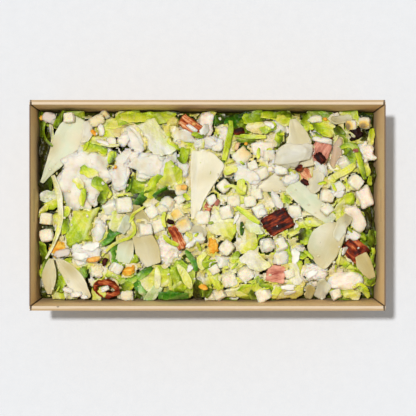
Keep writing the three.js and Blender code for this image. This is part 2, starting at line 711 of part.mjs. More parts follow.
const FINISHES = {
  tray: { color: 0xc39a66, roughness: 0.85, metalness: 0 },
  salad: { color: 0x9fbf3a, roughness: 0.5, metalness: 0 },
  chicken: { color: 0xf0e6d8, roughness: 0.55, metalness: 0 },
  bacon: { color: 0x9a3b22, roughness: 0.45, metalness: 0 },
  egg: { color: 0xf09a2c, roughness: 0.6, metalness: 0 },
  parmesan: { color: 0xe9e0bf, roughness: 0.45, metalness: 0 },
  crouton: { color: 0xf1e6c8, roughness: 0.85, metalness: 0 },
};

const object = new THREE.Group();

function add(name, kind, geometry) {
  const mesh = new THREE.Mesh(geometry, new THREE.MeshStandardMaterial(FINISHES[kind]));
  mesh.name = name;
  object.add(mesh);
}

const laid = layToppings();
add("tray", "tray", trayGeometry());
add("salad_heap", "salad", heapGeometry(laid));
for (const { name, kind, geometry } of laid) add(name, kind, geometry);

export default object;
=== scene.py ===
"""A chicken caesar salad in its folded kraft-board tray: the looks, built round the CAD solids.

Plans, sizes and heights are in millimetres from the middle of the tray's underside, +X along the tray
and +Z up. Every mesh is made in millimetres and scaled to metres when it is finished.
"""

import math
from dataclasses import dataclass

import bmesh
import bpy
import numpy as np
from mathutils import Euler, Matrix, Vector, noise


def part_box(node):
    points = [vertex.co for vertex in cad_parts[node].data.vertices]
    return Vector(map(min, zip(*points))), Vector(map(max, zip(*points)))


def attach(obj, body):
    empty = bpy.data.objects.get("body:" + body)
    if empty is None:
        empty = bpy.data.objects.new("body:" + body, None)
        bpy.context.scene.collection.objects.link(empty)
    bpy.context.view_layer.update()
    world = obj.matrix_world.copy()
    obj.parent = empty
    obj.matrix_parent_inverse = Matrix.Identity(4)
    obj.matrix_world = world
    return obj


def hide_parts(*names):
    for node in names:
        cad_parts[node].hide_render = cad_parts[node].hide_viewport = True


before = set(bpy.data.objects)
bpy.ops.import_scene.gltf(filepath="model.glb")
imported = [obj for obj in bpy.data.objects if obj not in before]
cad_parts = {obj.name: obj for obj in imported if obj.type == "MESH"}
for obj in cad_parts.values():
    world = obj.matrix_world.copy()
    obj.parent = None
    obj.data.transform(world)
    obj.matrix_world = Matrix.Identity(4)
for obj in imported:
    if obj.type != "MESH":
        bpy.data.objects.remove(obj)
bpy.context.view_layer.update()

MM = 0.001

# ---- The tray and the heap, as the CAD solids have them ------------------------------------------

tray_low, tray_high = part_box("tray")
TRAY_LENGTH = (tray_high.x - tray_low.x) / MM
TRAY_WIDTH = (tray_high.y - tray_low.y) / MM
TRAY_HEIGHT = (tray_high.z - tray_low.z) / MM
TRAY_LEAN = 11.0  # how far each wall leans in between the rim and the base
BOARD = 0.9
RIM_FOLD = 3.3  # the long walls are folded double, this wide at the rim
RIM_CREASE = 1.5  # the rim is paler inside this line
LOCK_HEIGHT = 67.0  # the groove in the middle of each end wall
LOCK_LENGTH = 24.0
LOCK_WIDTH = 1.8
END_WALLS = 110.0  # the end walls lie past this, measured from the middle
NICK = (-108.3, -73.2)  # a small dent in the rim
NICK_REACH = 1.1

HEAP_EDGE = 49.0
HEAP_CROWN = 56.0
CORE_DROP = 6.0  # the hidden core lies this far under the CAD heap, and chopped leaves fill the rest
CLEAR = 0.25  # what lies on something stays this far above it
LEAF_THICKNESS = 0.4


def inner_length(z):
    """Half the room between the end walls at a height."""
    return TRAY_LENGTH / 2 - TRAY_LEAN * (1 - z / TRAY_HEIGHT) - BOARD


def inner_width(z):
    """Half the room between the long walls at a height, whose inner panels lean in less."""
    return TRAY_WIDTH / 2 - TRAY_LEAN * (1 - z / TRAY_HEIGHT) - BOARD - (RIM_FOLD - BOARD) * z / TRAY_HEIGHT


HEAP_HALF_LENGTH = inner_length(HEAP_EDGE)
HEAP_HALF_WIDTH = inner_width(HEAP_EDGE)


def mound(x, y):
    """Height of the heap's core: a low mound that falls off towards the walls."""
    across_x = np.clip(np.abs(x) / HEAP_HALF_LENGTH, 0, 1)
    across_y = np.clip(np.abs(y) / HEAP_HALF_WIDTH, 0, 1)
    return HEAP_EDGE + (HEAP_CROWN - HEAP_EDGE) * (1 - across_x**4) * (1 - across_y**3)


# ---- Materials -----------------------------------------------------------------------------------

LIT = 1.18  # how bright a white card lies under the studio light
LIT_ON_TOP = 1.04  # the toppings
LIT_IN_PILE = 0.94  # and the leaves between them, which shade each other


def shade(red, green, blue, lit=LIT):
    """The surface colour that shows as this 8-bit colour in that light."""
    values = [channel / 255 for channel in (red, green, blue)]
    linear = [v / 12.92 if v <= 0.04045 else ((v + 0.055) / 1.055) ** 2.4 for v in values]
    return [min(0.97, v / lit) for v in linear] + [1.0]


def topping(red, green, blue):
    """The surface colour of a topping that shows as this 8-bit colour."""
    return shade(red, green, blue, LIT_ON_TOP)


def food(red, green, blue):
    """The surface colour of food that shows as this 8-bit colour deeper in the pile."""
    return shade(red, green, blue, LIT_IN_PILE)


class Socket:
    """An output in a material's node tree. Arithmetic on it adds Math nodes."""

    def __init__(self, finish, output):
        self.finish = finish
        self.output = output

    def math(self, operation, *others):
        """A Math node on this and others."""
        return self.finish.node("ShaderNodeMath", {"operation": operation}, dict(enumerate((self, *others))))

    def __add__(self, other):
        return self.math("ADD", other)

    def __sub__(self, other):
        return self.math("SUBTRACT", other)

    def __rsub__(self, other):
        return self.finish.node("ShaderNodeMath", {"operation": "SUBTRACT"}, {0: other, 1: self})

    def __mul__(self, other):
        return self.math("MULTIPLY", other)

    def __abs__(self):
        return self.math("ABSOLUTE")

    __radd__ = __add__
    __rmul__ = __mul__

    def between(self, low, high):
        """0 below low, 1 above high, and a soft step from one to the other."""
        settings = {"interpolation_type": "SMOOTHSTEP"}
        return self.finish.node("ShaderNodeMapRange", settings, {0: self, 1: low, 2: high})

    def between_mm(self, low, high):
        """The same for a place in metres, where low and high are in millimetres."""
        return self.between(low * MM, high * MM)


class Finish:
    """A procedural material being put together round one Principled BSDF."""

    def __init__(self, name, constants):
        self.material = bpy.data.materials.new(name)
        self.material.use_nodes = True
        self.tree = self.material.node_tree
        self.surface = self.tree.nodes["Principled BSDF"]
        self.set(constants)

    def set(self, sockets):
        """Gives sockets of the shader, by name, a value or a link."""
        self.fill(self.surface, sockets)

    def fill(self, node, sockets):
        """Gives a node's sockets, by name or number, a value or a link."""
        for name, value in sockets.items():
            if isinstance(value, Socket):
                self.tree.links.new(value.output, node.inputs[name])
            else:
                node.inputs[name].default_value = value

    def node(self, kind, settings, sockets, output=0):
        """A new node, set up and fed, as one of its outputs."""
        made = self.tree.nodes.new(kind)
        for name, value in settings.items():
            if name == "stops":
                self.set_stops(made.color_ramp, value)
            else:
                setattr(made, name, value)
        self.fill(made, sockets)
        return Socket(self, made.outputs[output])

    def set_stops(self, ramp, stops):
        """Gives a colour ramp its positions and their colours."""
        while len(ramp.elements) < len(stops):
            ramp.elements.new(0.5)
        for element, (position, colour) in zip(ramp.elements, stops):
            element.position = position
            element.color = colour

    def attribute(self, name, output="Fac"):
        """What a piece keeps at each vertex under this name."""
        return self.node("ShaderNodeAttribute", {"attribute_name": name}, {}, output)

    def axes(self, vector):
        """A vector's x, y and z."""
        split = self.node("ShaderNodeSeparateXYZ", {}, {0: vector})
        return [Socket(self, output) for output in split.output.node.outputs]

    def position(self):
        """Places in metres from the middle of the tray's underside."""
        return self.node("ShaderNodeTexCoord", {}, {}, "Object")

    def stretched(self, vector, scale):
        """Places scaled along each axis, so that a pattern is drawn out where the scale is small."""
        return self.node("ShaderNodeMapping", {}, {"Vector": vector, "Scale": scale})

    def noise(self, vector, scale, detail=2.0, roughness=0.5, distortion=0.0):
        """Soft noise about 0.5. The scale is in waves a metre on Object coordinates."""
        sockets = {"Vector": vector, "Scale": scale, "Detail": detail}
        sockets.update({"Roughness": roughness, "Distortion": distortion})
        return self.node("ShaderNodeTexNoise", {}, sockets)

    def cells(self, vector, scale, feature="F1"):
        """Distance to the nearest of many scattered points, or to the edge between two of them."""
        return self.node("ShaderNodeTexVoronoi", {"feature": feature}, {"Vector": vector, "Scale": scale})

    def ramp(self, value, *stops):
        """A colour for each value, from stops of a value and its colour."""
        return self.node("ShaderNodeValToRGB", {"stops": stops}, {0: value})

    def mix(self, share, first, second, blend="MIX"):
        """From the first colour to the second as share goes from 0 to 1."""
        settings = {"data_type": "RGBA", "blend_type": blend}
        return self.node("ShaderNodeMix", settings, {0: share, 6: first, 7: second}, 2)

    def bump(self, height, depth):
        """A surface whose height, from 0 to 1, stands up by depth millimetres."""
        return self.node("ShaderNodeBump", {}, {"Height": height, "Distance": depth * MM, "Strength": 1.0})


def board_rim(board, place, y, fibres):
    """The tops of the walls: cream inside the crease of a folded rim, brown outside, and dark cut edges."""
    crease = TRAY_WIDTH / 2 - RIM_CREASE
    fold = TRAY_WIDTH / 2 - RIM_FOLD
    wobble = (board.noise(place, 90, 3) - 0.5) * 0.7 * MM
    folded = abs(y).between_mm(fold - 0.2, fold)
    inside_crease = 1 - (abs(y) + wobble).between_mm(crease - 0.2, crease + 0.3)
    rim = board.mix(inside_crease, shade(206, 174, 130), shade(238, 216, 186))
    rim = board.mix(folded, shade(128, 100, 78), rim)
    grain = board.mix(fibres, (0.86, 0.86, 0.86, 1), (1.1, 1.1, 1.1, 1))
    return board.mix(1.0, rim, grain, "MULTIPLY")


def board_lines(x, y, z, on_rim):
    """Where the board is dark: slits where panels meet, the groove of each lock, and the nick in the rim."""
    end_foot = TRAY_LENGTH / 2 - TRAY_LEAN - BOARD
    end_gap = (abs(x) - z * (TRAY_LEAN / TRAY_HEIGHT)).between_mm(end_foot - 1, end_foot - 0.3)
    side_foot = TRAY_WIDTH / 2 - TRAY_LEAN - BOARD
    side_lean = (TRAY_LEAN - RIM_FOLD + BOARD) / TRAY_HEIGHT
    side_gap = (abs(y) - z * side_lean).between_mm(side_foot - 1, side_foot - 0.3)
    past_rim = abs(x).between_mm(TRAY_LENGTH / 2 - 0.1, TRAY_LENGTH / 2 - 0.6)
    slits = end_gap * side_gap * past_rim
    lock = abs(y).between_mm(LOCK_LENGTH / 2 + 0.5, LOCK_LENGTH / 2 - 0.5)
    lock = lock * abs(z - LOCK_HEIGHT * MM).between_mm(LOCK_WIDTH / 2 + 0.2, LOCK_WIDTH / 2 - 0.2)
    lock = lock * abs(x).between_mm(END_WALLS, END_WALLS + 1)
    nick = abs(x - NICK[0] * MM) + abs(y - NICK[1] * MM)
    nick = nick.between_mm(NICK_REACH + 0.3, NICK_REACH - 0.3) * on_rim
    return (slits + lock * past_rim * 0.6 + nick * 0.7).math("MINIMUM", 1.0)


def kraft_board():
    """Brown board with fine fibres, with painted shade low down inside the tray, and darker along its slits
    and grooves.
    """
    board = Finish("kraft_board", {"Roughness": 0.82, "Specular IOR Level": 0.25})
    place = board.position()
    x, y, z = board.axes(place)
    across = board.noise(board.stretched(place, (0.15, 1.0, 1.0)), 1800, 4, 0.65)
    along = board.noise(board.stretched(place, (1.0, 0.15, 1.0)), 1800, 4, 0.65)
    clouds = board.noise(place, 60, 3)
    flecks = board.cells(place, 900).between(0.16, 0.05)
    brown = board.ramp(
        across * 0.5 + along * 0.3 + clouds * 0.2,
        (0.3, shade(240, 188, 130)),
        (0.5, shade(255, 220, 164)),
        (0.72, shade(255, 236, 194)),
    )
    brown = board.mix(flecks * 0.35, brown, shade(170, 124, 78))
    # Painted shade: the walls turn darker brown low down inside the tray, towards the food.
    shade_low_down = 1 - z.between_mm(50, TRAY_HEIGHT - 8)
    inside = abs(x).between_mm(TRAY_LENGTH / 2 - 1, TRAY_LENGTH / 2 - 1.5)
    brown = board.mix(shade_low_down * inside * 0.3, brown, shade(132, 92, 48))
    on_rim = z.between_mm(TRAY_HEIGHT - 0.3, TRAY_HEIGHT - 0.1)
    colour = board.mix(on_rim, brown, board_rim(board, place, y, across))
    colour = board.mix(board_lines(x, y, z, on_rim) * 0.8, colour, shade(70, 48, 28))
    board.set({"Base Color": colour, "Normal": board.bump(across * 0.6 + along * 0.4, 0.12)})
    return board.material


def food_finish(name, specular, glow, depth, radius=(1.0, 0.2, 0.1)):
    """A material that light enters by depth millimetres, and less or more of it in red, green and blue."""
    made = Finish(name, {"Specular IOR Level": specular, "Subsurface Weight": glow})
    made.set({"Subsurface Scale": depth * MM, "Subsurface Radius": radius})
    return made


def lettuce():
    """Chopped leaves: white ribs, then yellow-green to dark green, with branching veins and a wet gloss.

    The leaf attribute is a point's place on the whole leaf that it was cut from, in centimetres.
    """
    leaf = food_finish("lettuce", 0.3, glow=0.4, depth=2.5, radius=(0.8, 1.0, 0.2))
    along, across, own = leaf.axes(leaf.attribute("leaf", "Vector"))
    tone = leaf.attribute("tone")
    cool = leaf.attribute("cool")
    place = leaf.position()
    clouds = leaf.noise(place, 150, 3)
    fine = leaf.noise(place, 750, 4, 0.6)
    rib = 1 - abs(across + (clouds - 0.5) * 0.2).between(0.06, 0.2)
    branch_line = along * 1.7 - abs(across) * 1.3 + own * 9 + clouds * 1.2
    branches = abs(branch_line.math("FRACT") - 0.5).between(0.18, 0.0)
    net = leaf.cells(place, 380, "DISTANCE_TO_EDGE").between(0.2, 0.0)
    veins = (rib * 0.8 + branches * 0.45 + net * 0.2).math("MINIMUM", 1.0)
    level = tone + (clouds - 0.5) * 0.35 + (fine - 0.5) * 0.24
    # The darkest stops, olive-brown, are dark outer leaf and also the painted shade of leaves laid dark in
    # gaps and against the walls.
    warm_green = leaf.ramp(
        level,
        (0.0, food(238, 236, 206)),
        (0.14, food(226, 226, 150)),
        (0.3, food(220, 222, 72)),
        (0.45, food(190, 212, 12)),
        (0.62, food(136, 166, 2)),
        (0.8, food(80, 98, 2)),
        (1.0, food(38, 34, 2)),
    )
    cool_green = leaf.ramp(
        level,
        (0.0, food(232, 240, 220)),
        (0.25, food(192, 216, 156)),
        (0.5, food(106, 170, 30)),
        (0.7, food(48, 122, 8)),
        (1.0, food(12, 46, 3)),
    )
    green = leaf.mix(cool, warm_green, cool_green)
    dressed = leaf.attribute("cream")
    soaked = leaf.noise(place, 70, 2).between(0.4, 0.54) * (1 - tone.between(0.25, 0.75)) * dressed
    green = leaf.mix(soaked * 0.7, green, food(222, 192, 118))
    vein_green = leaf.mix(tone.between(0.15, 0.9), food(248, 244, 200), food(150, 168, 30))
    cream = leaf.noise(place, 95, 4, 0.6).between(0.56, 0.68) * dressed
    colour = leaf.mix(veins * (0.62 - tone * 0.42), green, vein_green)
    colour = leaf.mix(cream * 0.85, colour, food(242, 236, 214))
    relief = veins * 0.35 + fine * 0.2 + clouds * 0.5 + cream * 0.4
    leaf.set({"Base Color": colour, "Roughness": 0.26 + fine * 0.2, "Normal": leaf.bump(relief, 1.0)})
    return leaf.material


def chicken():
    """Cooked breast, cream-white and fibrous, with tan cracks between its bundles of fibres."""
    meat = food_finish("chicken", 0.4, glow=0.7, depth=6.5, radius=(1.0, 0.6, 0.3))
    local = meat.attribute("local", "Vector")
    fibres = meat.noise(meat.stretched(local, (0.22, 1.0, 1.0)), 1.5, 4, 0.6, 0.4)
    bundles = meat.cells(meat.stretched(local, (0.12, 0.3, 0.3)), 1.0, "DISTANCE_TO_EDGE")
    clouds = meat.noise(local, 0.16, 3)
    grain = meat.noise(local, 3.0, 3, 0.6)
    crack = bundles.between(0.04, 0.0) * clouds.between(0.5, 0.64)
    sear = meat.noise(local, 0.11, 3, 0.6).between(0.58, 0.72)
    flesh = meat.ramp(
        clouds * 0.75 + fibres * 0.25,
        (0.3, topping(240, 216, 188)),
        (0.48, topping(247, 229, 210)),
        (0.7, topping(250, 239, 226)),
    )
    colour = meat.mix(sear * 0.5, flesh, topping(232, 206, 156))
    colour = meat.mix(crack * 0.5, colour, topping(212, 168, 108))
    # Tan where the tone says so: the skin of some pieces, and painted shade at the edges of the cream coats.
    colour = meat.mix(meat.attribute("tone"), colour, topping(190, 162, 128))
    meat.set({"Base Color": colour, "Roughness": 0.42 + fibres * 0.2})
    meat.set({"Normal": meat.bump(fibres * 0.35 + clouds * 0.6 + grain * 0.3, 0.35)})
    return meat.material


def bacon():
    """Fried bacon in streaks from char through red meat to pale fat, or pink where the tone says so."""
    meat = food_finish("bacon", 0.15, glow=0.05, depth=1.0)
    local = meat.attribute("local", "Vector")
    rawness = meat.attribute("tone")
    char = meat.attribute("cool")
    streaks = meat.noise(meat.stretched(local, (0.14, 1.0, 0.6)), 0.42, 3, 0.6, 0.3)
    fibres = meat.noise(meat.stretched(local, (0.2, 1.0, 1.0)), 1.3, 4, 0.65)
    patches = meat.noise(local, 0.13, 3, 0.6)
    level = streaks * 0.42 + patches * 0.38 + fibres * 0.2 - char * 0.1
    browned = meat.ramp(
        level,
        (0.37, food(30, 8, 4)),
        (0.43, food(84, 20, 4)),
        (0.49, food(146, 52, 16)),
        (0.55, food(196, 112, 60)),
        (0.62, food(228, 178, 130)),
    )
    pink = meat.ramp(
        level,
        (0.36, food(156, 76, 64)),
        (0.46, food(206, 138, 114)),
        (0.54, food(222, 164, 140)),
        (0.66, food(238, 200, 176)),
    )
    colour = meat.mix(rawness, browned, pink)
    meat.set({"Base Color": colour, "Roughness": 0.4 + fibres * 0.3})
    meat.set({"Normal": meat.bump(streaks * 0.7 + fibres * 0.3, 0.9)})
    return meat.material


def parmesan():
    """Waxy shavings, ivory to tan or faintly green, with the blade's fine lines and granular spots."""
    cheese = food_finish("parmesan", 0.4, glow=0.6, depth=4.0, radius=(1.0, 0.85, 0.5))
    local = cheese.attribute("local", "Vector")
    tan = cheese.attribute("tone")
    green = cheese.attribute("cool")
    clouds = cheese.noise(local, 0.07, 3)
    blade = cheese.noise(cheese.stretched(local, (0.03, 1.0, 0.03)), 0.8, 2)
    grains = cheese.cells(local, 0.55).between(0.22, 0.04)
    base = cheese.mix(clouds.between(0.35, 0.65), topping(230, 217, 184), topping(241, 230, 202))
    base = cheese.mix(green * clouds.between(0.75, 0.3), base, topping(208, 216, 182))
    base = cheese.mix((tan + (clouds - 0.5) * 0.4).math("MAXIMUM", 0.0), base, topping(188, 170, 104))
    colour = cheese.mix(grains * 0.2, base, topping(244, 238, 218))
    colour = cheese.mix(blade.between(0.55, 0.75) * 0.15, colour, topping(204, 192, 148))
    cheese.set({"Base Color": colour, "Roughness": 0.38 + clouds * 0.2})
    cheese.set({"Normal": cheese.bump(blade * 0.4 + grains * 0.25, 0.2)})
    return cheese.material


def crouton():
    """White bread, dried cream-white and full of fine pores, with some toasted golden sides, and grey-brown
    painted shade where the tone runs past 1.
    """
    bread = food_finish("crouton", 0.2, glow=0.7, depth=5.0, radius=(1.0, 0.66, 0.32))
    local = bread.attribute("local", "Vector")
    toast_and_shade = bread.attribute("tone")
    clouds = bread.noise(local, 0.2, 3)
    pores = bread.cells(local, 1.1).between(0.26, 0.1)
    fine_pores = bread.noise(local, 2.4, 3).between(0.6, 0.72)
    crumb = bread.ramp(
        clouds, (0.32, topping(239, 225, 190)), (0.5, topping(245, 236, 212)), (0.68, topping(249, 243, 227))
    )
    golden = bread.mix(bread.noise(local, 0.5, 3), topping(240, 190, 60), topping(244, 218, 140))
    colour = bread.mix((toast_and_shade * (0.55 + clouds * 0.9)).math("MINIMUM", 1.0), crumb, golden)
    colour = bread.mix(pores * 0.35 + fine_pores * 0.2, colour, topping(208, 182, 126))
    # Painted shade: past 1 the tone browns a side grey-brown, for croutons in a shaded corner.
    colour = bread.mix(toast_and_shade.between(1.0, 2.0), colour, topping(146, 128, 92))
    bread.set({"Base Color": colour, "Roughness": 0.78})
    bread.set({"Normal": bread.bump(1 - pores * 0.7 - fine_pores * 0.3, 0.7)})
    return bread.material


def egg():
    """Crumbled boiled egg: deep yellow yolk, with white where the tone says so."""
    crumb = food_finish("egg", 0.4, glow=0.2, depth=1.0)
    local = crumb.attribute("local", "Vector")
    white = crumb.attribute("tone")
    clouds = crumb.noise(local, 0.35, 3)
    yolk = crumb.ramp(
        clouds, (0.34, food(222, 142, 20)), (0.5, food(232, 168, 38)), (0.66, food(240, 198, 84))
    )
    colour = crumb.mix(white, yolk, topping(226, 214, 198))
    crumb.set({"Base Color": colour, "Roughness": 0.55})
    crumb.set({"Normal": crumb.bump(crumb.noise(local, 1.4, 4, 0.7), 0.5)})
    return crumb.material


def dressing():
    """Thick creamy dressing, glossy and off-white."""
    cream = food_finish("dressing", 0.4, glow=0.2, depth=2.0)
    cream.set({"Coat Weight": 0.1, "Coat Roughness": 0.3})
    place = cream.position()
    specks = cream.cells(place, 700).between(0.1, 0.04)
    cream.set({"Base Color": cream.mix(specks * 0.5, topping(243, 236, 222), topping(204, 188, 136))})
    cream.set({"Roughness": 0.35 + cream.noise(place, 300) * 0.2})
    cream.set({"Normal": cream.bump(cream.noise(place, 260, 3), 0.4)})
    return cream.material


def plaster():
    """The pale studio floor."""
    floor = Finish("pale_floor", {"Roughness": 0.9, "Specular IOR Level": 0.1})
    place = floor.position()
    grain = floor.noise(place, 120, 4, 0.6)
    floor.set({"Base Color": floor.mix(grain, shade(235, 237, 240), shade(242, 244, 247))})
    floor.set({"Normal": floor.bump(grain, 0.5)})
    return floor.material


MATERIALS = {
    "kraft_board": kraft_board(),
    "lettuce": lettuce(),
    "chicken": chicken(),
    "bacon": bacon(),
    "parmesan": parmesan(),
    "crouton": crouton(),
    "egg": egg(),
    "dressing": dressing(),
}

# ---- The pile: how high the tray is filled so far ------------------------------------------------


def blurred(grid, reach):
    """A grid whose every height is the average of what lies within reach cells of it."""
    wave_y = np.fft.fftfreq(grid.shape[0])[:, None]
    wave_x = np.fft.rfftfreq(grid.shape[1])
    kept = np.exp(-2 * (math.pi * reach) ** 2 * (wave_y**2 + wave_x**2))
    return np.fft.irfft2(np.fft.rfft2(grid) * kept, grid.shape)


def spread(grid, pick):
    """A grid whose every height is the highest or lowest of its nine cells' heights."""
    wide = np.pad(grid, 1, mode="edge")
    rows, columns = grid.shape
    shifts = [wide[j : j + rows, i : i + columns] for j in range(3) for i in range(3)]
    return pick.reduce(shifts)


class Pile:
    """Heights over a grid on the tray's floor plan: the top so far, and the underside of the toppings."""

    CELL = 0.8

    def __init__(self):
        columns = int(TRAY_LENGTH / self.CELL) + 1
        rows = int(TRAY_WIDTH / self.CELL) + 1
        x = (np.arange(columns) - columns / 2) * self.CELL
        y = (np.arange(rows) - rows / 2) * self.CELL
        self.shape = (rows, columns)
        self.top = mound(x[None, :], y[:, None]) - CORE_DROP
        self.ceiling = np.full(self.shape, np.inf)
        self.topped = np.zeros(self.shape, bool)
        self.soft_top = self.top

    def cells(self, x, y):
        """The rows and columns of the cells that places lie in."""
        rows, columns = self.shape
        i = np.clip(np.rint(np.asarray(x) / self.CELL + columns / 2), 0, columns - 1).astype(int)
        j = np.clip(np.rint(np.asarray(y) / self.CELL + rows / 2), 0, rows - 1).astype(int)
        return j, i

    def level(self, x, y):
        """How high the pile is at places."""
        return self.top[self.cells(x, y)]

    def soften(self, reach):
        """Remembers the top's broad shape, which soft things follow."""
        self.soft_top = blurred(spread(self.top, np.maximum), reach / self.CELL)

    def fill(self, points):
        """Raises the top to these points, given as rows of x, y and z."""
        added = np.full(self.shape, -np.inf)
        np.maximum.at(added, self.cells(points[:, 0], points[:, 1]), points[:, 2])
        self.top = np.maximum(self.top, spread(added, np.maximum))

    def hang(self, points):
        """Notes the underside of a topping, under which leaves have to pass."""
        under = np.full(self.shape, np.inf)
        np.minimum.at(under, self.cells(points[:, 0], points[:, 1]), points[:, 2])
        under = spread(under, np.minimum)
        self.ceiling = np.minimum(self.ceiling, under)
        self.topped |= np.isfinite(under)


pile = Pile()


def relaxed(grid):
    """Each value averaged with its neighbours along both directions of a sheet."""
    wide = np.pad(grid, 1, mode="edge")
    sides = wide[:-2, 1:-1] + wide[2:, 1:-1] + wide[1:-1, :-2] + wide[1:-1, 2:]
    return grid / 2 + sides / 8


def finer(grid, times=3):
    """A sheet's values with more rows and columns in between."""
    for axis in (0, 1):
        count = grid.shape[axis]
        steps = np.linspace(0, count - 1, (count - 1) * times + 1)
        lower = np.minimum(steps.astype(int), count - 2)
        share = steps - lower
        if axis == 0:
            share = share[:, None]
        first = np.take(grid, lower, axis)
        grid = first + (np.take(grid, lower + 1, axis) - first) * share
    return grid


STEEPEST_RISE = 1.5  # a sheet goes up by no more than this without lifting what lies round it
DEEPEST_SINK = 30.0
WALL_GAP = 0.7
WALL_CLIMB = 0.7  # how far a sheet climbs a wall for each millimetre that it would pass through it
HIGHEST_CLIMB = 6.0


def drape(x, y, relief, over_toppings):
    """Heights of a sheet that rests on the pile, and under the toppings unless it lies over them."""
    z = pile.soft_top[pile.cells(x, y)] + relief
    ground = pile.level(x, y) + CLEAR
    lift = np.zeros_like(z)
    for _ in range(10):
        lift = relaxed(np.maximum(lift, ground - z))
    z = z + np.maximum(lift, np.minimum(ground - z, STEEPEST_RISE))
    if over_toppings:
        return z
    ceiling = pile.ceiling[pile.cells(x, y)] - CLEAR
    sink = np.zeros_like(z)
    for _ in range(2):
        sink = relaxed(np.maximum(sink, np.minimum(z - ceiling, DEEPEST_SINK)))
    return np.minimum(z - sink, ceiling)


def within_walls(x, y, z):
    """Bends what would pass through a wall up along it."""
    reach_x = inner_length(z) - WALL_GAP
    reach_y = inner_width(z) - WALL_GAP
    past = np.maximum(np.abs(x) - reach_x, 0) + np.maximum(np.abs(y) - reach_y, 0)
    climbed = z + np.minimum(past * WALL_CLIMB, HIGHEST_CLIMB)
    return np.clip(x, -reach_x, reach_x), np.clip(y, -reach_y, reach_y), climbed


# ---- Meshes --------------------------------------------------------------------------------------


def placed(name, data):
    """A mesh, lamp or camera as an object in the scene."""
    made = bpy.data.objects.new(name, data)
    bpy.context.scene.collection.objects.link(made)
    return made


class Batch:
    """All pieces of one kind in one mesh, with what their material reads kept at each vertex."""

    def __init__(self, name, slot, seed):
        self.name = name
        self.slot = slot
        self.rng = np.random.default_rng(seed)
        self.mesh = bmesh.new()
        self.add_layers()

    def add_layers(self):
        """Finds the mesh's layers, or makes them where it has none."""
        numbers = self.mesh.verts.layers.float
        vectors = self.mesh.verts.layers.float_vector
        self.numbers = {kind: numbers.get(kind) or numbers.new(kind) for kind in ("tone", "cool", "cream")}
        self.vectors = {kind: vectors.get(kind) or vectors.new(kind) for kind in ("leaf", "local")}

    def mark(self, vertex, **values):
        """Keeps at a vertex what the material reads."""
        for kind, value in values.items():
            if kind in self.numbers:
                vertex[self.numbers[kind]] = value
            else:
                vertex[self.vectors[kind]] = value

    def grid(self, columns, rows):
        """A new flat sheet, as its vertices row by row and their places from -1 to 1 along and across."""
        made = bmesh.ops.create_grid(self.mesh, x_segments=columns, y_segments=rows, size=1)["verts"]
        made.sort(key=lambda vertex: (round(vertex.co.y, 4), vertex.co.x))
        u, v = np.meshgrid(np.linspace(-1, 1, columns + 1), np.linspace(-1, 1, rows + 1))
        return made, u, v

    def add(self, shape):
        """Another copy of a shape, as its vertices."""
        first = len(self.mesh.verts)
        self.mesh.from_mesh(shape)
        self.mesh.verts.ensure_lookup_table()
        return self.mesh.verts[first:]

    def as_object(self, material):
        """The batch as a smooth object in metres, with its place in its mesh."""
        self.mesh.transform(Matrix.Scale(MM, 4))
        data = bpy.data.meshes.new(self.name)
        self.mesh.to_mesh(data)
        self.mesh.free()
        data.polygons.foreach_set("use_smooth", [True] * len(data.polygons))
        data.materials.append(material)
        return placed(self.name, data)

    def finish(self, thickness=None, replaced=()):
        """The batch as an object that rides on the tray's body."""
        piece = self.as_object(MATERIALS[self.slot])
        if thickness:
            solid = piece.modifiers.new("thickness", "SOLIDIFY")
            solid.thickness = thickness * MM
            solid.offset = -1
        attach(piece, "root")
        if replaced:
            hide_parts(*replaced)


def split_cube(cuts):
    """A cube from -1 to 1 with its faces split evenly."""
    cube = bmesh.new()
    bmesh.ops.create_cube(cube, size=2)
    bmesh.ops.subdivide_edges(cube, edges=cube.edges, cuts=cuts, use_grid_fill=True)
    data = bpy.data.meshes.new("split_cube")
    cube.to_mesh(data)
    cube.free()
    return data


def turned(x, y, degrees):
    """Places turned about the origin."""
    angle = math.radians(degrees)
    return x * math.cos(angle) - y * math.sin(angle), x * math.sin(angle) + y * math.cos(angle)


def wave(rng, along, pace):
    """An uneven wave along a line, between about -1 and 1."""
    total = 0
    for share, times in ((0.5, 1.0), (0.3, 1.9), (0.2, 3.3)):
        total = total + share * np.sin(times * pace * along + rng.uniform(0, math.tau))
    return total


def put_sheet(batch, vertices, x, y, z, along, across, tone, cool=0.0, cream=0.0):
    """Moves a sheet's vertices into place, notes what its material reads, and fills the pile with it.

    along and across are places on the flat sheet, in millimetres.
    """
    own = batch.rng.uniform(0, 1)
    grown_x, grown_y = turned(along / 10, across / 10, batch.rng.normal(0, 35))
    grown_y = grown_y + batch.rng.uniform(-1.2, 1.2)
    tones = np.broadcast_to(tone, x.shape)
    columns = (x, y, z, along, across, grown_x, grown_y, tones)
    rows = zip(vertices, *(np.broadcast_to(column, x.shape).flat for column in columns))
    for vertex, px, py, pz, flat_x, flat_y, leaf_x, leaf_y, level in rows:
        vertex.co = (px, py, pz)
        local = (60 * own + flat_x, flat_y, pz)
        batch.mark(vertex, tone=level, cool=cool, cream=cream, leaf=(leaf_x, leaf_y, own), local=local)
    pile.fill(np.stack([finer(x).ravel(), finer(y).ravel(), finer(z).ravel()], 1))


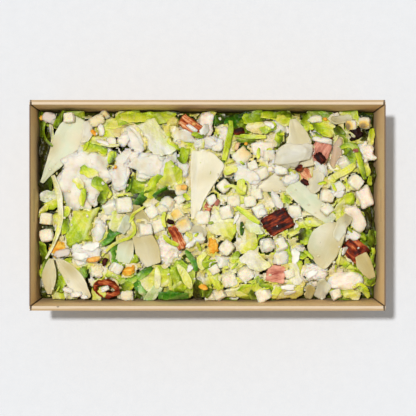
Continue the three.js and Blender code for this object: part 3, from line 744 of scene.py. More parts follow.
@dataclass
class Leaf:
    """A chopped piece of leaf. Its tone runs from 0, a white rib, to 1, a dark outer leaf; tones near 1 and
    past it also paint shade in gaps and against the walls.
    """

    x: float
    y: float
    length: float
    width: float
    turn: float
    tone: float
    cool: float = 0.0  # 0 yellow-green, 1 blue-green
    curl: float = 0.5  # how far its sides turn up, as an angle at its edge, or down if below 0
    fold: float = 2.6  # height of its broad creases
    ruffle: float = 1.2  # height of the frill along its sides
    crinkle: float = 0.5  # height of the blisters between its veins
    rise: float = 0.5  # how far it lies above what is under it
    blunt: float = 0.6  # width of its ends as a share of its middle
    cream: float = 0.15  # how much dressing it carries
    tilt: float = 0.0  # how steeply it climbs along its length
    over: bool = False  # whether it lies over the toppings


def cut_edge(rng, leaf, u):
    """Share of a leaf's half width along it: straight cuts that meet at corners, and its ends."""
    corners = rng.uniform(0.72, 1.12, 6)
    corners[[0, -1]] *= leaf.blunt
    return np.interp(u, np.linspace(-1, 1, 6), corners)


FULL_RELIEF = 11.0  # a leaf narrower than this has lower creases, blisters and frills


def lay_leaf(batch, leaf, fineness=1.0):
    """Lays a leaf on the pile, as a sheet with cells of about this size."""
    columns = max(6, round(leaf.length / fineness))
    rows = max(4, round(leaf.width / fineness))
    vertices, u, v = batch.grid(columns, rows)
    rng = batch.rng
    half = leaf.width / 2 * np.where(v > 0, cut_edge(rng, leaf, u), cut_edge(rng, leaf, u))
    half = half * (1 + 0.05 * np.abs(v) * wave(rng, u, leaf.length / 2))
    angle = v * leaf.curl
    radius = half / max(abs(leaf.curl), 0.05)
    across = radius * np.sin(angle) * np.sign(leaf.curl)
    lip = radius * (1 - np.cos(angle)) * np.sign(leaf.curl)
    along = leaf.length / 2 * u * (1 + 0.06 * wave(rng, v, 3)) + rng.uniform(-0.35, 0.35) * across
    across = across + leaf.length * 0.05 * wave(rng, u, 2)
    frill = np.abs(v) ** 1.6 * leaf.ruffle * wave(rng, u + 0.3 * np.sign(v), leaf.length / 4.5)
    blister = leaf.crinkle * np.abs(wave(rng, along, 0.8) * wave(rng, across, 1.0) * 2)
    crease = leaf.fold * np.abs(wave(rng, along * 0.5 + across, 0.25))
    large = min(1.0, leaf.width / FULL_RELIEF)
    relief = leaf.rise + lip + large * (frill + blister + crease) + leaf.tilt * along
    x, y = turned(along, across, leaf.turn)
    x = x + leaf.x
    y = y + leaf.y
    z = drape(x, y, relief, leaf.over)
    x, y, z = within_walls(x, y, z)
    fade_u, fade_v = rng.uniform(-0.25, 0.25), rng.uniform(-0.2, 0.2)
    tone = leaf.tone + fade_u * u + fade_v * v + 0.08 * wave(rng, u - v, 3)
    put_sheet(batch, vertices, x, y, z, along, across, tone, leaf.cool, leaf.cream)


@dataclass
class Ribbon:
    """A long shred along a route of points on the plan."""

    route: list
    width: float
    tone: float
    cool: float = 0.0
    arch: float = 1.5  # how far it arches up between where it touches
    rise: float = 0.8
    twist: float = 0.6  # how far it rolls from side to side, as an angle
    cream: float = 0.1
    point: float = 0.5  # width of its ends as a share of its middle
    taper: float = 0.0  # how much of its width it loses from its first end to its last


RIBBON_CELL = 1.1


def smooth_route(points):
    """Evenly spaced points on a soft line through a few given ones, and the length between these."""
    given = np.array(points, float)
    steps = np.concatenate([[0], np.cumsum(np.hypot(*np.diff(given, axis=0).T))])
    count = max(8, round(steps[-1] / RIBBON_CELL)) + 1
    even = np.linspace(0, steps[-1], count)
    line = np.stack([np.interp(even, steps, given[:, k]) for k in (0, 1)], 1)
    for _ in range(count // 3):
        line[1:-1] = line[1:-1] / 2 + (line[:-2] + line[2:]) / 4
    return line, steps[-1]


def lay_ribbon(batch, ribbon):
    """Lays a shred along its route, over everything."""
    line, length = smooth_route(ribbon.route)
    vertices, u, v = batch.grid(len(line) - 1, 4)
    rng = batch.rng
    heading = np.gradient(line, axis=0)
    heading /= np.hypot(*heading.T)[:, None]
    end = (1 - (1 - ribbon.point) * np.abs(u) ** 3) * (1 - ribbon.taper * (u + 1) / 2)
    half = ribbon.width / 2 * end * (1 + 0.12 * wave(rng, u, length / 9))
    roll = ribbon.twist * wave(rng, u, length / 14)
    flat = half * v * np.cos(roll)
    x = line[:, 0][None, :] - heading[:, 1][None, :] * flat
    y = line[:, 1][None, :] + heading[:, 0][None, :] * flat
    relief = ribbon.rise + half * v * np.sin(roll) + ribbon.arch * (0.5 + 0.5 * wave(rng, u, length / 12))
    relief = relief - 0.12 * ribbon.width * (1 - v**2)
    z = drape(x, y, relief, over_toppings=True)
    x, y, z = within_walls(x, y, z)
    tone = ribbon.tone + 0.12 * wave(rng, u, length / 16) + rng.uniform(-0.12, 0.12) * v
    put_sheet(batch, vertices, x, y, z, u * length / 2, half * v, tone, ribbon.cool, ribbon.cream)


# ---- The core and the first leaves on it ---------------------------------------------------------

CORE_FLOOR = BOARD + 0.4


def core_foot(core, vertex):
    """A new vertex just over the tray's base, below one on the core's rim and set in as the walls lean."""
    x, y, z = vertex.co
    lean = inner_length(z) - inner_length(CORE_FLOOR)
    x -= math.copysign(lean, x) * abs(x) / TRAY_LENGTH * 2
    y -= math.copysign(lean, y) * abs(y) / TRAY_WIDTH * 2
    return core.mesh.verts.new((x, y, CORE_FLOOR), vertex)


def heap_core():
    """The hidden inside of the heap: a block whose top is crumpled like packed leaves."""
    core = Batch("salad_heap_core", "lettuce", 1)
    vertices, u, v = core.grid(90, 54)
    top_z = mound(u * HEAP_HALF_LENGTH, v * HEAP_HALF_WIDTH) - CORE_DROP
    half_x = inner_length(top_z) - 1
    half_y = inner_width(top_z) - 1
    for vertex, x, y, z in zip(vertices, (u * half_x).flat, (v * half_y).flat, top_z.flat):
        crumple = 2.5 * noise.noise((x / 7, y / 7, 0)) + 1.2 * noise.noise((x / 3, y / 3, 5))
        vertex.co = (x, y, z + crumple)
        core.mark(vertex, tone=0.95, leaf=(x / 10, y / 10, 0.3), local=(x, y, z))
    feet = {vertex: core_foot(core, vertex) for vertex in vertices if vertex.is_boundary}
    rim = [edge.link_loops[0] for edge in core.mesh.edges if edge.is_boundary]
    for loop in rim:
        first, second = loop.link_loop_next.vert, loop.vert
        core.mesh.faces.new((first, second, feet[second], feet[first]))
    bottom = [edge for edge in core.mesh.edges if edge.is_boundary]
    bmesh.ops.contextual_create(core.mesh, geom=bottom)
    bmesh.ops.recalc_face_normals(core.mesh, faces=core.mesh.faces)
    core.finish(replaced=["salad_heap"])


# Deep gaps between the leaves, where the first leaves are painted dark as shade and the scraps lie lower:
# middle, and reach along and across.
SHADED_GAPS = [
    (-118, 38, 8, 24),
    (-30, 8, 7, 5),
    (-58, 43, 6, 5),
    (14, 17, 6, 4),
    (69, -21, 5, 4),
    (-58, 22, 4, 6),
    (118, -8, 5, 15),
    (119, 21, 4, 8),
    (12, 64, 8, 4),
]


def in_gap(x, y):
    """Whether a place lies in one of the deep gaps."""
    return any(((x - gx) / rx) ** 2 + ((y - gy) / ry) ** 2 < 1 for gx, gy, rx, ry in SHADED_GAPS)


def near_wall(x, y):
    """0 over most of the heap and up to 1 against a wall."""
    edge = max(abs(x) / HEAP_HALF_LENGTH, abs(y) / HEAP_HALF_WIDTH)
    return max(0.0, edge - 0.85) / 0.15


def first_leaves():
    """Two beds of chopped leaves under everything: a dark one, dark leaves that also paint the shade in the
    gaps between the pieces, and a brighter one on it.
    """
    # name, seed, columns and rows, tones, how cool they may be, and rise
    beds = [
        ("lettuce_bed_dark", 3, (15, 9), (0.45, 0.95), 0.9, 0.5),
        ("lettuce_bed_light", 4, (15, 10), (0.0, 0.36), 0.5, 2.4),
    ]
    for name, seed, (columns, rows), (low, high), cool_share, rise in beds:
        bed = Batch(name, "lettuce", seed)
        pile.soften(4)
        places = [(i, j) for i in range(columns) for j in range(rows)]
        bed.rng.shuffle(places)
        draw = bed.rng.uniform
        for i, j in places:
            leaf = Leaf(
                x=((i + draw(0, 1)) / columns * 2 - 1) * (HEAP_HALF_LENGTH - 5),
                y=((j + draw(0, 1)) / rows * 2 - 1) * (HEAP_HALF_WIDTH - 4),
                length=draw(14, 27),
                width=draw(8, 16),
                turn=draw(0, 360),
                tone=draw(low, high),
                cool=draw(0, 1) ** 3 * cool_share,
                curl=draw(-0.8, 1.1),
                ruffle=draw(0.8, 2.0),
                rise=rise + draw(-0.5, 0.5),
                blunt=draw(0.4, 0.9),
                tilt=draw(-0.25, 0.25),
                cream=draw(0.4, 1),
            )
            # Painted shade: leaves against the walls are darker, where the walls shade the heap.
            leaf.tone += 0.6 * near_wall(leaf.x, leaf.y)
            # Painted shade: leaves in the deep gaps are darkest and carry no dressing.
            if in_gap(leaf.x, leaf.y):
                leaf.tone, leaf.cream = 1.2, 0.0
            lay_leaf(bed, leaf, fineness=1.6)
        bed.finish(thickness=LEAF_THICKNESS)


# ---- Toppings, each in the place of its CAD solid ------------------------------------------------


def node_names(kind):
    """The CAD nodes of a kind, in order."""
    return sorted(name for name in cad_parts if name.startswith(kind + "_"))


def own_axes(points):
    """A piece's middle and its long, middle and short axes, as columns."""
    middle = points.mean(0)
    _, axes = np.linalg.eigh(np.cov((points - middle).T))
    axes = axes[:, ::-1]
    if np.linalg.det(axes) < 0:
        axes[:, 2] = -axes[:, 2]
    return middle, axes


def note_shavings():
    """Keeps the first leaves under the shavings, which are too thin to hide what would come through."""
    for node in node_names("parmesan"):
        shaving = copied(node, "parmesan", 5)
        pile.hang(corners_of(shaving))
        shaving.mesh.free()


def copied(node, kind, cuts):
    """A batch that starts as a finely split copy of a CAD node, in millimetres."""
    piece = Batch(node + "_food", kind, 1)
    piece.mesh.from_mesh(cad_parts[node].data)
    piece.add_layers()
    piece.mesh.transform(Matrix.Scale(1 / MM, 4))
    bmesh.ops.remove_doubles(piece.mesh, verts=piece.mesh.verts, dist=0.01)
    bmesh.ops.subdivide_edges(piece.mesh, edges=piece.mesh.edges, cuts=cuts, use_grid_fill=True)
    return piece


def corners_of(piece):
    """A piece's vertices as rows of x, y and z."""
    return np.array([vertex.co for vertex in piece.mesh.verts])


def round_off(piece, times, vertices=None):
    """Draws vertices, or all of them, in among their neighbours."""
    all_ways = {"use_axis_x": True, "use_axis_y": True, "use_axis_z": True}
    for _ in range(times):
        bmesh.ops.smooth_vert(piece.mesh, verts=vertices or piece.mesh.verts, factor=0.5, **all_ways)


def hash_of(name):
    """A whole number that is always the same for the same name."""
    return sum(ord(letter) * (k + 3) for k, letter in enumerate(name))


def roughen(piece, height, tone, cool=0.0, toasted_side=None, fade=0.0):
    """Moves each vertex out or in by height(local place), and notes what the material reads."""
    middle, axes = own_axes(corners_of(piece))
    own = hash_of(piece.name)
    piece.mesh.normal_update()
    moves = []
    for vertex in piece.mesh.verts:
        local = Vector((np.array(vertex.co) - middle) @ axes)
        level = tone + fade * noise.noise(local * 0.06 + Vector((own, 0, 0)))
        if toasted_side is not None:
            level = max(0.0, vertex.normal.dot(toasted_side)) ** 2 * tone
        piece.mark(vertex, tone=level, cool=cool, local=local + Vector((7, 3, 5)) * (own % 97))
        moves.append((vertex, vertex.normal * height(local)))
    for vertex, move in moves:
        vertex.co += move


def side_of(own):
    """The way that a crouton's toasted side faces, always the same for the same number."""
    return Vector((math.cos(own), math.sin(own), 1.0)).normalized()


def toppings(kind, cuts, shape):
    """Each CAD node of a kind as a finely split copy with a relief of its own."""
    for node in node_names(kind):
        piece = copied(node, kind, cuts)
        shape(piece, node, hash_of(node))
        points = corners_of(piece)
        pile.fill(points)
        pile.hang(points)
        piece.finish(replaced=[node])


# How ragged a piece is, where it isn't like the rest, and how much of it is tan skin.
CHICKEN_RAGGED = {
    "chicken_01": 0.5,
    "chicken_10": 0.0,
    "chicken_11": 2.0,
    "chicken_12": 0.2,
    "chicken_13": 0.3,
    "chicken_16": 2.2,
    "chicken_17": 0.3,
    "chicken_18": 2.2,
}
CHICKEN_SKIN = {"chicken_10": 0.85, "chicken_13": 0.15}


def shape_chicken(piece, node, own):
    """Torn breast, in bundles of fibres."""
    raggedness = CHICKEN_RAGGED.get(node, 0.7)
    round_off(piece, 5)

    def torn(local):
        """Bundles of fibres along the piece, with grooves between them."""
        place = Vector((local.x * 0.09, local.y * 0.17, local.z * 0.2)) + Vector((own, 0, 0))
        lumps = noise.noise(place * 1.2)
        knobs = noise.noise(local * 0.35 + Vector((0, own, 0)))
        grain = noise.noise(local * 1.3)
        groove = 1 - min(1, abs(noise.noise(place * 0.9 + Vector((0, 9, 0)))) * 7)
        return 1.6 * lumps + raggedness * (1.1 * knobs + 0.4 * grain - 0.5 * groove)

    roughen(piece, torn, CHICKEN_SKIN.get(node, 0.0))


def set_down(vertices, points, x, y, lift):
    """Moves vertices to a place on the pile, and fills the pile with their points there."""
    for vertex in vertices:
        vertex.co += Vector((x, y, lift))
    pile.fill(points + (0, 0, lift))


BIT_CHAR = 0.9  # how charred small bits of bacon are


def lay_lump(batch, x, y, length, width, turn, tone, height):
    """Sets an uneven lump on the pile, sunk a little into it."""
    made = bmesh.ops.create_icosphere(batch.mesh, subdivisions=2 if length < 4 else 3, radius=1)["verts"]
    own = batch.rng.uniform(0, 90)
    spin = Matrix.Rotation(math.radians(turn), 3, "Z")
    half = Vector((length, width, height)) * 0.46
    for vertex in made:
        unit = vertex.co.copy()
        lumps = 1 + 0.4 * noise.noise(unit * 1.3 + Vector((own, 0, 0)))
        lumps += 0.25 * noise.noise(unit * 3.5 + Vector((0, own, 0)))
        lumps /= max(map(abs, unit)) ** 0.5
        local = Vector(unit[k] * half[k] * lumps for k in range(3))
        batch.mark(vertex, tone=tone, cool=BIT_CHAR, local=local + Vector((own, 0, own)))
        vertex.co = spin @ local
    points = np.array([vertex.co for vertex in made]) + (x, y, 0)
    room = pile.level(points[:, 0], points[:, 1]) - points[:, 2].min()
    set_down(made, points, x, y, lift=np.percentile(room, 60) - 0.2 * height)


# Smaller pieces of chicken that lie against the larger ones: x, y, length, width, turn.
CHICKEN_BETWEEN = [
    (-88, 32, 22, 13, -52),
    (-98, 33, 16, 11, 35),
    (-105, 19, 14, 10, 60),
    (-84, 20, 14, 11, 70),
    (-83, 7, 14, 9, 80),
    (-73, 21, 14, 10, 20),
    (-72, 37, 16, 8, -25),
    (-59, 36, 12, 7, 70),
    (-61, 48, 12, 8, 45),
    (-52, 36, 12, 10, 60),
    (-41, 35, 22, 7, 0),
    (-31, 26, 14, 13, 60),
    (-26, 38, 20, 8, 82),
    (-18, 26, 14, 9, 86),
    (-20, 32, 9, 6, 60),
    (-45, 16, 8, 6, 70),
    (-1, 46, 20, 9, 4),
    (8, 44, 11, 7, 70),
    (-14, 50, 10, 8, -20),
    (61, 19, 14, 8, 28),
    (83, 26, 14, 9, -72),
    (80, 54, 12, 8, 62),
    (30, 20, 18, 9, -8),
    (24, 26, 14, 9, 68),
    (53, 56, 15, 10, -20),
    (60, 37, 22, 10, 8),
    (53, 32, 12, 5, 0),
    (46, 28, 12, 9, 10),
    (51, 3, 17, 6, -62),
    (101, 31, 9, 6, 72),
    (96, 10, 13, 9, -40),
    (106, -22, 12, 7, -20),
    (67, -34, 13, 8, 84),
    (-86, -39, 16, 6, 0),
    (-95, -31, 8, 7, 0),
    (-15, -24, 9, 6, 60),
    (62, -62, 14, 8, 0),
    (-10, -46, 5, 4, 0),
]


def chicken_between():
    """Pieces that fill the places between the larger ones, sunk into the leaves."""
    kind = Batch("chicken_between", "chicken", 15)
    for x, y, length, width, turn in CHICKEN_BETWEEN:
        lay_lump(kind, x, y, length, width, turn, 0, height=0.55 * width)
    kind.finish()


# How pink the raw looking bacon and the ham are, and how charred a piece is where it isn't like the rest.
PINK_BACON = {"bacon_02": 0.8, "bacon_03": 0.15, "bacon_06": 1.0, "bacon_09": 0.3}
# bacon_10 lies in the shaded upper right corner: its high char is partly painted shade.
BACON_CHAR = {"bacon_01": -0.5, "bacon_03": -0.6, "bacon_04": 0.7, "bacon_07": -0.35, "bacon_10": 1.6}


def shape_bacon(piece, node, own):
    """A fried bit of rasher."""
    round_off(piece, 1)

    def fried(local):
        """Ridges along the rasher's layers, pitted by frying."""
        layers = abs(math.sin(local.y * 0.75 + 0.8 * noise.noise(Vector((local.x * 0.12, own, 0)))))
        pits = noise.noise(local * 0.4 + Vector((own, 0, 0)))
        return 0.8 * layers - 0.5 + 0.8 * pits + 0.25 * noise.noise(local * 1.4)

    roughen(piece, fried, PINK_BACON.get(node, 0.0), BACON_CHAR.get(node, 0.2))


def shape_egg(piece, node, own):
    """Crumbled egg."""
    round_off(piece, 1)

    def crumbled(local):
        """Lumps with finer crumbs on them."""
        lumps = noise.noise(local * 0.35 + Vector((own, 0, 0)))
        return lumps + 0.6 * noise.noise(local * 0.9) + 0.2 * noise.noise(local * 2)

    roughen(piece, crumbled, 0.0)


# How tan and how green each shaving is.
SHAVING_TINTS = {
    "parmesan_01": (0.3, 0.8),
    "parmesan_02": (0.5, 0.2),
    "parmesan_03": (0.0, 0.1),
    "parmesan_04": (0.05, 1.0),
    "parmesan_05": (0.4, 0.2),
    "parmesan_06": (0.5, 0.6),
    "parmesan_07": (0.85, 0.3),
    "parmesan_08": (0.15, 0.9),
    "parmesan_09": (0.0, 0.0),
    "parmesan_10": (0.32, 0.1),
    "parmesan_11": (0.65, 0.4),
}


def shape_shaving(piece, node, own):
    """A waxy shaving, unevenly tinted."""
    round_off(piece, 3)

    def shaved(local):
        """Faint lines from the blade, and a gentle ripple."""
        lines = 0.1 * math.sin(local.y * 2.6 + noise.noise(Vector((local.x * 0.1, own, 0))))
        return lines + 0.25 * noise.noise(local * 0.12 + Vector((own, 0, 0)))

    tan, green = SHAVING_TINTS[node]
    roughen(piece, shaved, tan, green, fade=0.8)


# How golden the croutons are that are more so than the rest, and how ragged the crumbly ones.
TOASTED_CROUTONS = {"crouton_05": 1.3, "crouton_15": 0.6, "crouton_02": 0.5, "crouton_12": 0.3}
CRUMBLY_CROUTONS = {
    "crouton_15": 1.5,
    "crouton_12": 0.8,
    "crouton_14": 0.6,
    "crouton_13": 0.4,
    "crouton_01": 0.3,
}


def shape_crouton(piece, node, own):
    """A bread cube, more rounded where it is crumbly, with one side toasted."""
    crumbly = CRUMBLY_CROUTONS.get(node, 0.0)
    round_off(piece, 1 + round(crumbly * 3))

    def pored(local):
        """Pits of two sizes."""
        pits = noise.noise(local * 0.5 + Vector((own, 0, 0)))
        return 0.15 + (0.4 + crumbly) * pits + (0.25 + 0.3 * crumbly) * noise.noise(local * 1.3)

    roughen(piece, pored, TOASTED_CROUTONS.get(node, 0.15), toasted_side=side_of(own))


# ---- Leaves and shreds that can be told apart ----------------------------------------------------

# Between and under the toppings. Leaves of tone near 1 and past it are dark outer leaves and also paint the
# shade against the walls, in the upper right corner and in the gaps.
LEAVES_AMONG = [
    # along the left wall and in the upper left corner
    Leaf(-108, 63, 14, 6, 60, 0.75),
    Leaf(-119, 44, 20, 7, 80, 1.2, curl=0.2, rise=0.2),
    Leaf(-118, 30, 20, 7, 95, 1.15, curl=0.2, rise=0.2),
    Leaf(-117, 16, 14, 6, 80, 1.0, cool=0.3, rise=0.2),
    Leaf(-116, 7, 14, 9, 8, 0.12, cool=1.0, curl=0.3, rise=2),
    Leaf(-113, 1, 13, 8, 15, 0.4, curl=1.2, rise=2),
    Leaf(-121, -4, 12, 5, 45, 0.28),
    Leaf(-120, -34, 16, 7, -70, 0.75),
    Leaf(-119, -46, 14, 6, 60, 0.75),
    Leaf(-122, 56, 12, 5, 80, 0.9),
    # the pale and the lime leaves of the upper left
    Leaf(-63, 55, 25, 15, -15, 0.13, curl=-0.3, cream=1.0, rise=2),
    Leaf(-67, 60, 22, 9, 12, 0.3),
    Leaf(-58, 65, 18, 10, 20, 0.58),
    Leaf(-44, 65, 40, 9, -3, 0.45, ruffle=2.0, rise=1.5),
    Leaf(-33, 63, 22, 9, 0, 0.5),
    Leaf(-38, 49, 29, 18, -57, 0.1, cool=0.5, curl=0.3, rise=2.5, blunt=0.8, cream=0.3),
    Leaf(-82, 41, 18, 9, -12, 0.45, curl=0.8, rise=1.5),
    Leaf(-79, 47, 16, 6, -6, 0.25, rise=1.5),
    Leaf(-69, 35, 9, 6, 80, 0.55, rise=3),
    Leaf(-72, 50, 12, 7, -60, 0.36),
    Leaf(-51, 19, 12, 9, -30, 0.48, rise=2),
    Leaf(-50, 12, 15, 10, -20, 0.58, rise=2),
    Leaf(-55, 3, 14, 8, 30, 0.9, cool=0.6),
    Leaf(-48, 5, 12, 7, 60, 0.8, cool=0.8),
    Leaf(-58, 16, 12, 7, 70, 0.8, cool=0.5),
    # the lime square of the lower left and what lies round it
    Leaf(-92, -17, 29, 21, 80, 0.45, curl=0.15, ruffle=0.8, blunt=0.95, rise=3),
    Leaf(-104, -15, 12, 6, 85, 0.65),
    Leaf(-103, -5, 8, 5, 60, 0.45, rise=2),
    Leaf(-103, -43, 12, 7, 20, 0.55),
    Leaf(-94, -45, 14, 8, -35, 0.45, rise=2),
    Leaf(-89, -47, 12, 8, 50, 0.55, cool=0.8, rise=2),
    Leaf(-107, -57, 14, 8, 60, 0.6),
    Leaf(-72, -22, 22, 9, 42, 0.7, cool=1.0, rise=2),
    Leaf(-66, -37, 19, 8, 95, 0.62, cool=0.9, rise=2),
    Leaf(-62, -41, 12, 6, 60, 0.5, rise=1.5),
    Leaf(-57, -41, 14, 8, 20, 0.45),
    Leaf(-67, -12, 14, 10, 70, 0.25, cool=0.3, rise=2),
    Leaf(-68, -52, 16, 7, -25, 0.5),
    Leaf(-52, -56, 17, 12, -35, 0.62, cool=1.0, rise=2),
    Leaf(-45, -63, 17, 9, -60, 0.42, cool=1.0, rise=2),
    Leaf(-58, -55, 14, 9, 30, 0.45, cool=0.5),
    Leaf(-60, -60, 12, 7, 20, 0.7),
    Leaf(-29, -50, 16, 4, 75, 0.8, cool=1.0, rise=4.5),
    Leaf(-46, -57, 14, 5, -50, 0.6, cool=1.0, rise=4.5),
    Leaf(-27, -64, 14, 5, 25, 0.62, cool=0.9, rise=4),
    Leaf(-77, -44, 10, 6, 20, 0.4),
    # upper middle
    Leaf(-26, 57, 14, 10, 65, 0.32, cream=0.8, rise=2),
    Leaf(-24, 45, 12, 6, -30, 0.4),
    Leaf(-16, 38, 15, 10, 75, 0.55, curl=1.0, rise=1.5),
    Leaf(12, 62, 18, 10, 5, 0.95, cool=0.6),
    Leaf(22, 63, 20, 9, 15, 0.85, cool=0.9, rise=1.5),
    Leaf(28, 58, 12, 8, -40, 0.7),
    Leaf(24, 55, 12, 7, 10, 0.8),
    Leaf(34, 64, 16, 10, 20, 0.64, rise=1.5),
    Leaf(36, 57, 15, 9, -15, 0.2, rise=2, cream=1.0),
    Leaf(-39, 14, 19, 11, 62, 0.5, rise=0.6, over=True),
    Leaf(-27, 19, 22, 16, 66, 0.32, curl=-0.4, ruffle=1.8, rise=0.8, blunt=0.8, over=True),
    Leaf(-34, 9, 12, 5, 30, 0.85, cool=0.8, rise=1.5),
    Leaf(-30, 7, 14, 7, 15, 1.0),
    Leaf(17, 26, 10, 7, 20, 0.3, rise=1.5),
    Leaf(15, 17, 9, 7, 0, 1.0),
    Leaf(25, 14, 10, 7, -80, 0.3, rise=2),
    # upper right
    Leaf(50, 66, 22, 7, -3, 0.6),
    Leaf(56, 62, 12, 8, -20, 0.36),
    Leaf(44, 56, 11, 7, 20, 0.55, rise=1.5),
    Leaf(51, 48, 10, 6, 70, 0.6),
    Leaf(72, 63, 10, 7, 80, 0.6),
    Leaf(85, 57, 19, 12, -35, 0.44, curl=0.5, rise=3),
    Leaf(73, 57, 8, 6, 0, 0.45),
    Leaf(98, 52, 14, 8, -50, 0.75),
    Leaf(99, 45, 12, 8, -60, 0.65),
    Leaf(104, 41, 16, 9, 10, 0.7),
    Leaf(105, 33, 14, 8, 80, 0.62),
    Leaf(120, 50, 13, 5, 80, 0.38, rise=3),
    Leaf(116, 27, 12, 6, -80, 0.35, rise=1.5),
    Leaf(119, 18, 7, 4, 80, 0.5),
    Leaf(110, 53, 14, 9, -20, 1.0),
    Leaf(88, 17, 14, 8, 40, 0.3, cream=1.0),
    Leaf(93, 21, 10, 6, 30, 0.35, rise=1.5),
    Leaf(101, 3, 13, 10, 20, 0.38, rise=2.5),
    Leaf(97, -4, 16, 10, 60, 0.27, rise=2),
    Leaf(109, -19, 18, 8, -55, 0.55, rise=1.5),
    Leaf(106, -15, 7, 5, 80, 0.75, rise=2),
    Leaf(117, -10, 20, 6, 85, 1.1),
    Leaf(119, -28, 20, 6, 80, 0.9),
    Leaf(120, -38, 14, 5, 80, 0.6),
    # lower middle
    Leaf(11, -15, 22, 18, -40, 0.18, curl=-0.3, rise=3.5, blunt=0.85),
    Leaf(-15, -17, 16, 10, -50, 0.24, rise=2),
    Leaf(-8, -15, 15, 9, -15, 0.06, cream=1.0, rise=3),
    Leaf(26, -8, 14, 8, 30, 0.1, cream=0.8, rise=3),
    Leaf(28, -19, 22, 13, -70, 0.08, cool=0.4, cream=1.0, rise=2.5),
    Leaf(34, -16, 14, 9, -20, 0.12, cool=0.5, rise=2.5),
    Leaf(30, -29, 15, 9, 30, 0.24, rise=2),
    Leaf(25, -17, 10, 3, 88, 0.9, cool=0.6, rise=5),
    Leaf(-10, -28, 14, 12, 20, 0.24, cream=1.0, rise=2),
    Leaf(-2, -37, 12, 8, 60, 0.32, rise=2),
    Leaf(1, -43, 11, 7, 0, 0.62, rise=1.5),
    Leaf(-22, -41, 18, 9, 20, 0.78),
    Leaf(-25, -45, 15, 8, -30, 0.6, rise=1.5),
    Leaf(-37, -54, 23, 17, 20, 0.31, curl=-0.5, ruffle=2.0, fold=3.6, crinkle=0.9, rise=4, blunt=0.8),
    Leaf(-46, -49, 14, 6, 40, 0.7, cool=0.7, rise=2),
    Leaf(-40, -65, 15, 9, 50, 0.3, cool=1.0, rise=3),
    Leaf(-16, -53, 31, 16, -58, 0.44, cool=0.3, curl=0.8, fold=3.4, crinkle=0.9, rise=4, blunt=0.7),
    Leaf(-24, -54, 18, 9, 80, 0.5, rise=2),
    Leaf(-20, -62, 12, 8, 70, 0.62),
    Leaf(-7, -62, 14, 8, 75, 0.9),
    Leaf(0, -63, 10, 7, 60, 0.75),
    Leaf(6, -54, 17, 9, -70, 0.38, rise=3),
    Leaf(3, -48, 8, 6, 20, 0.42, rise=2),
    Leaf(24, -62, 22, 8, 18, 0.28, rise=3),
    Leaf(33, -61, 22, 7, 8, 0.34, rise=4),
    Leaf(27, -67, 14, 5, -20, 0.45, rise=2),
    Leaf(34, -67, 10, 5, -50, 0.6, rise=1),
    Leaf(24, -42, 15, 9, 30, 0.34, rise=2),
    Leaf(20, -38, 10, 6, 50, 0.5, rise=2),
    Leaf(35, -41, 19, 13, -40, 0.02, cool=0.4, curl=-0.2, rise=1.5, blunt=0.8, cream=0.4, over=True),
    Leaf(45, -58, 15, 8, -15, 0.5, rise=1.5),
    # lower right
    Leaf(64, -18, 13, 10, 30, 0.3, curl=1.4, rise=2.5),
    Leaf(71, -14, 14, 7, 10, 0.34, rise=2),
    Leaf(79, -12, 16, 7, -5, 0.3, rise=1.5),
    Leaf(72, -23, 12, 8, 60, 0.55),
    Leaf(69, -21, 9, 5, 80, 1.0),
    Leaf(60, -37, 22, 7, -70, 0.48, rise=2),
    Leaf(67, -46, 12, 8, -70, 0.36, rise=2),
    Leaf(59, -61, 23, 16, 0, 0.24, curl=-0.4, cream=1.0, rise=3.5),
    Leaf(51, -62, 14, 6, 70, 0.42, rise=2),
    Leaf(63, -50, 17, 12, -45, 0.1, rise=2),
    Leaf(105, -44, 23, 9, -35, 0.42, rise=2),
    Leaf(99, -41, 10, 8, -40, 0.38, rise=2),
    Leaf(104, -64, 17, 9, -20, 0.33, rise=3),
    Leaf(93, -63, 12, 6, -30, 0.5),
    Leaf(114, -62, 15, 4, -50, 0.45, rise=2),
    Leaf(120, -54, 9, 6, 60, 0.8, rise=2),
]

# On top of the toppings.
LEAVES_OVER = [
    Leaf(-86, 24, 14, 8, -15, 0.36, rise=0.4, ruffle=0.5),
    Leaf(-91, 6, 13, 4.5, 82, 0.45, rise=0.4, ruffle=0.4),
    Leaf(-94, 16, 9, 6, -60, 0.22, rise=0.3, ruffle=0.4),
    Leaf(-77, 13, 18, 9, -55, 0.5, rise=0.6),
    Leaf(-76, 6, 10, 7, 70, 0.68, rise=0.5),
    Leaf(-70, 35, 9, 5, 85, 0.55, rise=0.4),
    Leaf(-7, 51, 9, 4, -15, 0.6, rise=0.3),
    Leaf(46, 58, 8, 5, 40, 0.45, rise=0.4),
    Leaf(37, 38, 8, 2.5, 80, 0.4, rise=0.3, ruffle=0.3),
    Leaf(92, 13, 6, 2.5, -60, 0.4, rise=0.3, ruffle=0.3),
    Leaf(-15, 6, 6, 4, -40, 0.4, rise=0.3, ruffle=0.3),
    Leaf(70, -36, 8, 6, 20, 0.6, rise=0.6),
    Leaf(53, 52, 5, 3, 10, 0.5, rise=0.3),
    Leaf(-77, -64, 7, 4, -40, 0.35, rise=0.3, ruffle=0.4),
]

RIB = {"arch": 0.2, "rise": 0.2, "twist": 0.3, "point": 0.2, "taper": -0.6}  # lies flat on its leaf

